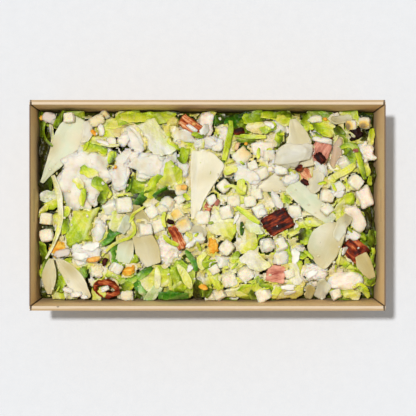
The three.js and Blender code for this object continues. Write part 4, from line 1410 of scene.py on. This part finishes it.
RIBBONS_OVER = [
    Ribbon([(-113, 22), (-108, 8), (-107, -8), (-109, -20), (-113, -30), (-118, -39)], 5.6, 0.12, taper=0.7),
    Ribbon([(17, 62), (17, 55), (15, 45), (12, 33)], 4.2, 0.48, point=0.8),
    Ribbon([(20, 51), (30, 50), (43, 50)], 3.2, 0.45),
    Ribbon([(21, 48), (28, 46.5), (35, 47)], 2.5, 0.75),
    Ribbon([(97, 42), (103, 45), (108, 43), (111, 35), (113, 26), (115, 19)], 4.6, 0.6),
    Ribbon([(92, 21), (99, 24), (104, 27), (108, 30)], 4.8, 0.34, point=0.8),
    Ribbon(
        [(-77, -37), (-71, -30), (-64, -26), (-56, -24), (-52, -19)]
        + [(-54, -14), (-57, -10), (-54, -6), (-46, -1)],
        2.3,
        0.35,
        arch=0.8,
    ),
    Ribbon([(-1, -35), (-6, -39), (-6, -44), (-3, -47)], 4.2, 0.26, arch=0.8),
    Ribbon([(21, -1), (27, -5), (32, -9), (38, -13)], 4.0, 0.46),
    Ribbon([(-16, -33), (-12, -38), (-9, -43), (-8, -48)], 4.0, 0.7, cool=1.0),
    Ribbon([(-36, -66), (-26, -67), (-14, -66.5)], 6.0, 0.66, cool=1.0, point=0.8),
    Ribbon([(-32, -22), (-29, -26), (-25, -28), (-21, -29)], 3.4, 0.38),
    Ribbon([(-31, -5), (-33, -10), (-31, -16)], 3.0, 0.35),
    Ribbon([(98, -31), (96, -37), (95, -44)], 1.8, 0.14),
    Ribbon([(70, -33), (74, -36), (77, -39)], 2.4, 0.45),
    # A stem by the upper left wall, dim olive as painted shade from the wall.
    Ribbon([(-119, 62), (-121, 54), (-118, 47), (-113, 43)], 2.0, 0.72, arch=0.4),
    Ribbon([(12, 13), (17, 15), (21, 13), (24, 8), (28, 9)], 2.6, 0.42),
    Ribbon([(-64, 44), (-70, 43.5), (-78, 45)], 2.6, 0.2),
    Ribbon([(-22, -43), (-17, -50), (-12, -61)], 4.5, 0.2, **RIB),
    Ribbon([(-37, -45), (-36, -53), (-37, -61)], 3.6, 0.14, **RIB),
    Ribbon([(106, -60), (112, -57), (118, -63)], 2.2, 0.45),
]


def leaves_among():
    """The leaves between and under the toppings."""
    kind = Batch("lettuce_among", "lettuce", 11)
    pile.soften(4.5)
    for leaf in LEAVES_AMONG:
        lay_leaf(kind, leaf)
    kind.finish(thickness=LEAF_THICKNESS)


def shreds():
    """Narrow chopped strips of every tone between the leaves."""
    kind = Batch("lettuce_shreds", "lettuce", 13)
    pile.soften(2.5)
    draw = kind.rng.uniform
    for _ in range(80):
        x, y = draw(-118, 118), draw(-65, 65)
        if pile.topped[pile.cells(x, y)]:
            continue
        strip = Leaf(
            x=x,
            y=y,
            length=draw(6, 16),
            width=draw(2, 5),
            turn=draw(0, 360),
            tone=draw(0.0, 0.42),
            cool=draw(0, 1) ** 4,
            curl=draw(-0.5, 1.2),
            ruffle=draw(0.3, 1.0),
            crinkle=0.6,
            fold=0.6,
            rise=draw(0.2, 1.2),
            blunt=draw(0.3, 0.9),
            cream=draw(0.4, 1),
        )
        lay_leaf(kind, strip)
    kind.finish(thickness=LEAF_THICKNESS)


SCRAPS_UNDER = 4.0  # how far the scraps in the gaps lie under the tops of the pieces round them
SCRAPS_HIDDEN = 4.0  # the scraps are left out where something this much higher lies over them


def dressed_scraps():
    """Scraps in dressing that half fill the gaps between the pieces: one uneven sheet, where it shows."""
    kind = Batch("dressed_scraps", "lettuce", 53)
    pile.soften(3)
    reach_x, reach_y = HEAP_HALF_LENGTH - 2, HEAP_HALF_WIDTH - 2
    vertices, u, v = kind.grid(round(2 * reach_x), round(2 * reach_y))
    x, y = u * reach_x, v * reach_y
    soft_top = pile.soft_top[pile.cells(x, y)]
    bare = []
    shown = []
    for vertex, px, py, soft, level in zip(vertices, x.flat, y.flat, soft_top.flat, pile.level(x, y).flat):
        scraps = noise.noise((px / 3.5, py / 3.5, 3)) + 0.8 * noise.noise((px / 8, py / 8, 8))
        pz = soft - SCRAPS_UNDER + 1.6 * scraps - 5 * near_wall(px, py) - 9 * in_gap(px, py)
        if pile.topped[pile.cells(px, py)]:
            pz = min(pz, level - 2)
        patches = noise.noise((px / 9, py / 9, 20))
        vertex.co = (px, py, pz)
        kind.mark(vertex, tone=0.15 + 0.7 * patches, cream=0.7, leaf=(px / 10, py / 10, 0.6))
        if pz < level - SCRAPS_HIDDEN:
            bare.append(vertex)
        else:
            shown.append((px, py, pz))
    bmesh.ops.delete(kind.mesh, geom=bare, context="VERTS")
    pile.fill(np.array(shown))
    kind.finish(thickness=LEAF_THICKNESS)


def leaves_over():
    """The leaves and shreds on top."""
    kind = Batch("lettuce_over", "lettuce", 12)
    pile.soften(2)
    for leaf in LEAVES_OVER:
        leaf.over = True
        lay_leaf(kind, leaf, fineness=0.8)
    for ribbon in RIBBONS_OVER:
        lay_ribbon(kind, ribbon)
    kind.finish(thickness=LEAF_THICKNESS)


# ---- Small croutons ------------------------------------------------------------------------------

# x, y, size, turn and how golden one side is; past 1 that side is browned as painted shade.
SMALL_CROUTONS = [
    (-71, -1, 11, 20, 0),
    (-61, 0, 12, 5, 0),
    (-29, 1, 9, 50, 0.2),
    (-33, -3, 7, 20, 0),
    (-36, -15, 9.5, 20, 0),
    (-45, -18, 9, 5, 0),
    (-20, 12, 8.5, 15, 0.9),
    (-20, 5, 7.5, 40, 0),
    (-17, -14, 10, 30, 0.95),
    (-3, -9, 10, 0, 0),
    (-7, -24, 8, 10, 0),
    (14, -5, 9.5, 15, 0),
    (38, -5, 9.5, 25, 0),
    (36, 8, 8.5, 10, 0.3),
    (25, 36, 12, 40, 0.7),
    (54, 27, 9.5, 0, 0),
    (40, 24, 8, 30, 0),
    (64, -4, 10, 5, 0),
    (95, 12, 9, 28, 0),
    (87, -3, 8, 45, 0),
    (100, 31, 8, 30, 0),
    (11, -41, 9.5, 5, 0),
    (5, -47, 7, 30, 0),
    (53, -29, 9.5, 24, 0),
    (53, -38, 10, 5, 0),
    (44, -29, 8, 35, 0),
    (41, -65, 10, 30, 0),
    (-76, 66, 7, 40, 0.7),
    # Painted shade: two croutons in the shaded upper right corner.
    (105, 59, 7.5, 4, 2.2),
    (115, 60, 8, 3, 2.0),
    (-67, -46, 8, -28, 0),
    (94, -65, 7, 20, 0.3),
    (45, 36, 8, 0, 0),
    (33, 29, 7, 20, 0),
    (3, 4, 7, 30, 0),
    (-70, 46, 7, 10, 0),
    (60, -50, 7, 20, 0),
    (9, -65, 8, 30, 0.8),
]


def lay_crouton(batch, cube, x, y, size, turn, golden_and_shaded):
    """Sets a bread cube on the pile, sunk a little into what is soft under it."""
    rng = batch.rng
    vertices = batch.add(cube)
    own = rng.uniform(0, 90)
    stretch = np.array([1.0, rng.uniform(0.85, 1.0), rng.uniform(0.75, 0.95)]) * size / 2
    tilt = Euler((rng.normal(0, 0.36), rng.normal(0, 0.36), math.radians(turn))).to_matrix()
    toasted_side = side_of(own)
    for vertex in vertices:
        unit = vertex.co.copy()
        reach = max(map(abs, unit))
        unit *= (reach / unit.length) ** 0.22
        local = Vector(np.array(unit) * stretch)
        pits = noise.noise(local * 0.4 + Vector((own, 0, 0)))
        local *= 1 + 0.2 * pits + 0.08 * noise.noise(local * 1.2 + Vector((0, own, 0)))
        facing = max(0.0, unit.normalized().dot(toasted_side))
        batch.mark(vertex, tone=facing**2 * golden_and_shaded, local=local + Vector((own, own, 0)))
        vertex.co = tilt @ local
    points = np.array([vertex.co for vertex in vertices]) + (x, y, 0)
    underside = points[points[:, 2] < np.median(points[:, 2])]
    room = pile.level(underside[:, 0], underside[:, 1]) - underside[:, 2]
    set_down(vertices, points, x, y, lift=np.percentile(room, 45) - 0.17 * size)


def small_croutons():
    """The croutons without a CAD solid of their own."""
    kind = Batch("small_croutons", "crouton", 21)
    cube = split_cube(4)
    for crouton in SMALL_CROUTONS:
        lay_crouton(kind, cube, *crouton)
    kind.finish()


# ---- Loose flakes of cheese, bits, crumbs and dressing -------------------------------------------

# Flakes without a CAD solid of their own: x, y, length, width, turn, how tan, how green.
CHEESE_FLAKES = [
    (-88, 54, 16, 8, 80, 0.0, 0.0),
    (79, 17, 16, 11, 55, 0.15, 0.0),
    (-51, -11, 20, 14, -60, 0.7, 0.0),
    (84, -62, 14, 10, 60, 0.1, 0.8),
    (75, -64, 10, 7, 70, 0.9, 0.2),
    (98, -16, 20, 9, 62, 0.3, 0.3),
    (98, 63.5, 15, 6, 0, 0.35, 0.7),
    (60, 31, 13, 9, 20, 0.2, 0.2),
    (-60, -14, 14, 8, 60, 0.1, 0.9),
    (-8, -18, 16, 8, -20, 0.4, 0.0),
    (63, 38, 27, 17, 4, 0.02, 0.0),
]

# Small pieces: slot, x, y, length, width, turn, tone.
SMALL_BITS = [
    ("egg", -120.5, 64, 5, 4, 0, 0.0),
    ("egg", -116, 64, 10, 8, -20, 1.0),
    ("egg", -83, 53, 5.5, 3, -50, 0.0),
    ("egg", -67.5, 28, 3.4, 3, 0, 0.0),
    ("egg", 21.5, 43, 6, 3, 70, 0.5),
    ("egg", 28, 45, 3, 2.5, 0, 0.0),
    ("egg", -17, 13, 4.5, 4, 0, 0.1),
    ("egg", -83, -39.5, 11, 4, 12, 0.1),
    ("egg", -3, -59.5, 6, 4, -20, 0.0),
    ("egg", -10, 59, 3.2, 2.8, 0, 0.2),
    ("egg", -106, -35, 12, 6, 12, 1.0),
    ("egg", 86, 63, 3, 2.6, 0, 0.0),
    ("bacon", -75, -41, 6, 4, 70, 0.0),
    ("bacon", 23, 54, 8, 5, 15, 0.0),
    ("bacon", -27, -12, 6, 3.5, -20, 0.0),
    ("bacon", 7, 2, 5, 3, 60, 0.6),
    ("bacon", 108, 40, 4, 3, 0, 0.5),
    ("bacon", 82, 34.5, 10, 6.5, -50, 0.0),
    ("bacon", 89, 48.5, 5, 2, 0, 0.0),
    ("bacon", 66.5, 27, 6, 4, 40, 0.0),
    ("bacon", 71, 17, 6, 4, -30, 0.0),
    ("chicken", -77.5, 55, 9, 5, -78, 0.0),
    ("chicken", 83.5, 47.5, 15, 4.5, -10, 0.0),
    ("chicken", -102, -62, 8, 4, -20, 0.0),
    ("chicken", -96, -65, 9, 4, 5, 0.0),
    ("chicken", -90, -67, 5, 3, 0, 0.0),
    ("chicken", -75, -61, 7, 4, 20, 0.0),
    ("chicken", -11, 56, 9, 3, -35, 0.0),
    ("crouton", 79, 63, 10, 6, 10, 0.2),
    ("crouton", -59, -66, 9.5, 8.5, 0, 0.2),
    ("crouton", -81, 62, 12, 8, 20, 0.4),
]

# Pools of dressing: x, y, length, width, turn.
DRESSING_POOLS = [
    (64, -37, 12, 6, 90),
    (59, -60, 10, 5, 0),
    (60, -64, 9, 3, 10),
    (-85, -30, 13, 6, 10),
    (-93, -37, 12, 6, 0),
    (-76, 46, 10, 3, -20),
    (21, -10, 9, 2.5, 60),
    (96, 8, 8, 5, 20),
    (-2, 55, 9, 6, 60),
    (-12, -28, 9, 4, 40),
    (-13, -46, 6, 4, 60),
    (40, -5, 6, 5, 0),
    (45, 59, 9, 4, -30),
    (76, -50, 9, 5, 30),
    (100, -33, 7, 3, 60),
]


def cheese_flakes():
    """Thin shavings that lie over what is under them."""
    kind = Batch("cheese_flakes", "parmesan", 31)
    pile.soften(3)
    shape = {"curl": 0.25, "fold": 0.4, "ruffle": 0.3, "crinkle": 0.0, "blunt": 0.7}
    for flake in CHEESE_FLAKES:
        lay_leaf(kind, Leaf(*flake, **shape, over=True))
    kind.finish(thickness=0.7)


def small_bits():
    """Bits of egg, bacon, chicken and bread, each kind as one piece."""
    for slot in ("egg", "bacon", "chicken", "crouton"):
        kind = Batch(slot + "_bits", slot, 41)
        for bit_slot, x, y, length, width, turn, tone in SMALL_BITS:
            if bit_slot == slot:
                lay_lump(kind, x, y, length, width, turn, tone, height=min(width, 5) * 0.7)
        kind.finish()


POOL_SWELL = 0.9
POOL_CELL = 0.8


def lay_pool(batch, x, y, length, width, turn):
    """A round sheet that runs thin at its edges and bridges what it lies on."""
    vertices, u, v = batch.grid(max(8, round(length / POOL_CELL)), max(6, round(width / POOL_CELL)))
    # The square sheet is drawn in to a round one.
    round_u = u * np.sqrt(1 - v**2 / 2)
    round_v = v * np.sqrt(1 - u**2 / 2)
    edge = 1 + 0.24 * wave(batch.rng, np.arctan2(round_v, round_u), 3)
    along = round_u * length / 2 * edge
    across = round_v * width / 2 * edge
    height = POOL_SWELL * (1 - np.clip(round_u**2 + round_v**2, 0, 1) ** 2) - 0.35
    flat_x, flat_y = turned(along, across, turn)
    flat_x, flat_y = flat_x + x, flat_y + y
    z = drape(flat_x, flat_y, height, over_toppings=True)
    flat_x, flat_y, z = within_walls(flat_x, flat_y, z)
    put_sheet(batch, vertices, flat_x, flat_y, z, along, across, 0)
    pile.topped[pile.cells(flat_x, flat_y)] = True


# Where dressing coats the chicken into one soft mass: x, y, length, width, turn.
CREAM_COATS = [
    (-97, 14, 38, 24, 78),
    (-95, 32, 20, 15, 30),
    (-80, 30, 28, 14, -48),
    (-82, 13, 20, 12, 80),
    (-64, 22, 24, 12, 86),
    (-70, 37, 16, 9, -25),
    (-44, 29, 27, 17, -4),
    (-53, 47, 24, 9, -60),
    (-60, 36, 14, 8, 60),
    (-26, 37, 20, 9, 82),
    (-18, 27, 17, 10, 80),
    (-17, 50, 18, 10, -15),
    (-1, 46, 19, 8, 0),
    (28, 22, 24, 14, -12),
    (62, 38, 22, 13, 8),
    (52, 57, 16, 11, -20),
    (82, 27, 15, 9, -70),
    (60, 20, 13, 9, 25),
    (51, 4, 18, 7, -62),
    (-87, -35, 24, 13, 0),
    (-79, -19, 18, 9, 85),
    (66, -35, 14, 9, 85),
    (61, -63, 14, 8, 0),
    (95, 10, 13, 10, -40),
]


def cream_coats():
    """One thick sheet over all these places, cut out round them."""
    kind = Batch("cream_coats", "chicken", 52)
    pile.soften(2.2)
    vertices, u, v = kind.grid(round(2 * HEAP_HALF_LENGTH), round(2 * HEAP_HALF_WIDTH))
    x, y = u * HEAP_HALF_LENGTH, v * HEAP_HALF_WIDTH
    depth = np.full(x.shape, -1.0)
    for middle_x, middle_y, length, width, turn in CREAM_COATS:
        along, across = turned(x - middle_x, y - middle_y, -turn)
        along, across = 2 * along / length, 2 * across / width
        edge = 1 + 0.24 * wave(kind.rng, np.arctan2(across, along), 3)
        depth = np.maximum(depth, 1 - np.hypot(along, across) / edge)
    coated = depth > 0
    height = 0.8 * np.sqrt(np.clip(depth, 0, 1)) - 0.4
    broad = [noise.noise((px / 7, py / 7, 2)) for px, py in zip(x.flat, y.flat)]
    fine = [noise.noise((px / 3, py / 3, 4)) for px, py in zip(x.flat, y.flat)]
    lumps = np.reshape(broad, x.shape) + 0.5 * np.reshape(fine, x.shape)
    height += 0.7 * lumps * np.clip(depth / 0.3, 0, 1)
    z = drape(x, y, height, over_toppings=True)
    # Painted shade: the coats turn tan towards their edges, where the mass falls away between the pieces.
    tan = 0.5 * np.clip(1 - depth / 0.15, 0, 1)
    grown_x, grown_y = turned(x, y, 35)
    columns = (column.flat for column in (x, y, z, grown_x, grown_y, tan))
    for vertex, px, py, pz, along, across, level in zip(vertices, *columns):
        vertex.co = (px, py, pz)
        kind.mark(vertex, tone=level, local=(along, across, pz))
    bare = [vertex for vertex, kept in zip(vertices, coated.flat) if not kept]
    bmesh.ops.delete(kind.mesh, geom=bare, context="VERTS")
    pile.fill(np.stack([x[coated], y[coated], z[coated]], 1))
    pile.topped[pile.cells(x[coated], y[coated])] = True
    round_off(kind, 4, [vertex for vertex in kind.mesh.verts if vertex.is_boundary])
    kind.finish(thickness=2.5)


def dressing_pools():
    """Small thick pools on top of everything."""
    kind = Batch("dressing_pools", "dressing", 51)
    pile.soften(1.5)
    for pool in DRESSING_POOLS:
        lay_pool(kind, *pool)
    kind.finish(thickness=0.5)


def crumbs():
    """Crumbs of bread and cheese, and green flecks, scattered over everything."""
    bread = Batch("bread_crumbs", "crouton", 61)
    draw = bread.rng.uniform
    for _ in range(90):
        x, y, size = draw(-118, 118), draw(-64, 64), draw(1.0, 2.6)
        lay_lump(bread, x, y, size, size * 0.8, turn=draw(0, 360), tone=draw(0, 0.5), height=size * 0.7)
    bread.finish()
    flecks = Batch("lettuce_flecks", "lettuce", 62)
    pile.soften(1.5)
    draw = flecks.rng.uniform
    shape = {"curl": 0.1, "fold": 0.2, "ruffle": 0.2, "crinkle": 0.3, "rise": 0.3, "blunt": 0.2}
    for _ in range(50):
        x, y, tone = draw(-116, 116), draw(-62, 62), draw(0.2, 0.75)
        if pile.topped[pile.cells(x, y)]:
            continue
        fleck = Leaf(x, y, draw(3, 8), draw(1, 2.6), draw(0, 360), tone, **shape, cream=0.0, over=True)
        lay_leaf(flecks, fleck, fineness=0.7)
    flecks.finish(thickness=0.3)


heap_core()
note_shavings()
first_leaves()
toppings("chicken", 5, shape_chicken)
toppings("bacon", 4, shape_bacon)
toppings("egg", 4, shape_egg)
toppings("parmesan", 5, shape_shaving)
toppings("crouton", 4, shape_crouton)
chicken_between()
cream_coats()
shreds()
leaves_among()
cheese_flakes()
small_croutons()
dressed_scraps()
leaves_over()
small_bits()
dressing_pools()
crumbs()

# ---- The studio ----------------------------------------------------------------------------------

FLOOR_HALF = 3000.0
FLOOR_HEIGHT = -0.02
LAMP_ANGLE = 2.6  # how wide the lamp looks, in degrees
LAMP_WAY = (0.144, -0.114, -1)
LAMP_STRENGTH = 2.5
SKY_COLOUR = (0.985, 0.98, 0.97, 1)
SKY_STRENGTH = 0.4
CAMERA_PLACE = (0.00036, -0.00196, 2.28)  # in metres
CAMERA_LENS = 263.0
CAMERA_SENSOR = 36.0


def lay_floor():
    """A pale floor just under the tray."""
    floor = Batch("studio_floor", "dressing", 0)
    vertices, u, v = floor.grid(1, 1)
    for vertex, x, y in zip(vertices, (u * FLOOR_HALF).flat, (v * FLOOR_HALF).flat):
        vertex.co = (x, y, FLOOR_HEIGHT)
    ground = floor.as_object(plaster())


def light():
    """Soft light from all round, and a small high lamp."""
    lamp = bpy.data.lights.new("high_lamp", "SUN")
    lamp.energy = LAMP_STRENGTH
    lamp.angle = math.radians(LAMP_ANGLE)
    placed("high_lamp", lamp).rotation_euler = Vector(LAMP_WAY).to_track_quat("-Z", "Y").to_euler()
    world = bpy.data.worlds.new("soft_light")
    world.use_nodes = True
    sky = world.node_tree.nodes["Background"].inputs
    sky["Color"].default_value = SKY_COLOUR
    sky["Strength"].default_value = SKY_STRENGTH
    bpy.context.scene.world = world


def look_down():
    """A camera straight above."""
    camera = bpy.data.cameras.new("camera")
    camera.lens = CAMERA_LENS
    camera.sensor_width = CAMERA_SENSOR
    camera_object = placed("camera", camera)
    camera_object.location = CAMERA_PLACE
    bpy.context.scene.camera = camera_object
    bpy.context.scene.view_settings.view_transform = "Standard"


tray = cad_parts["tray"]
tray.material_slots[0].material = MATERIALS["kraft_board"]
lay_floor()
light()
look_down()
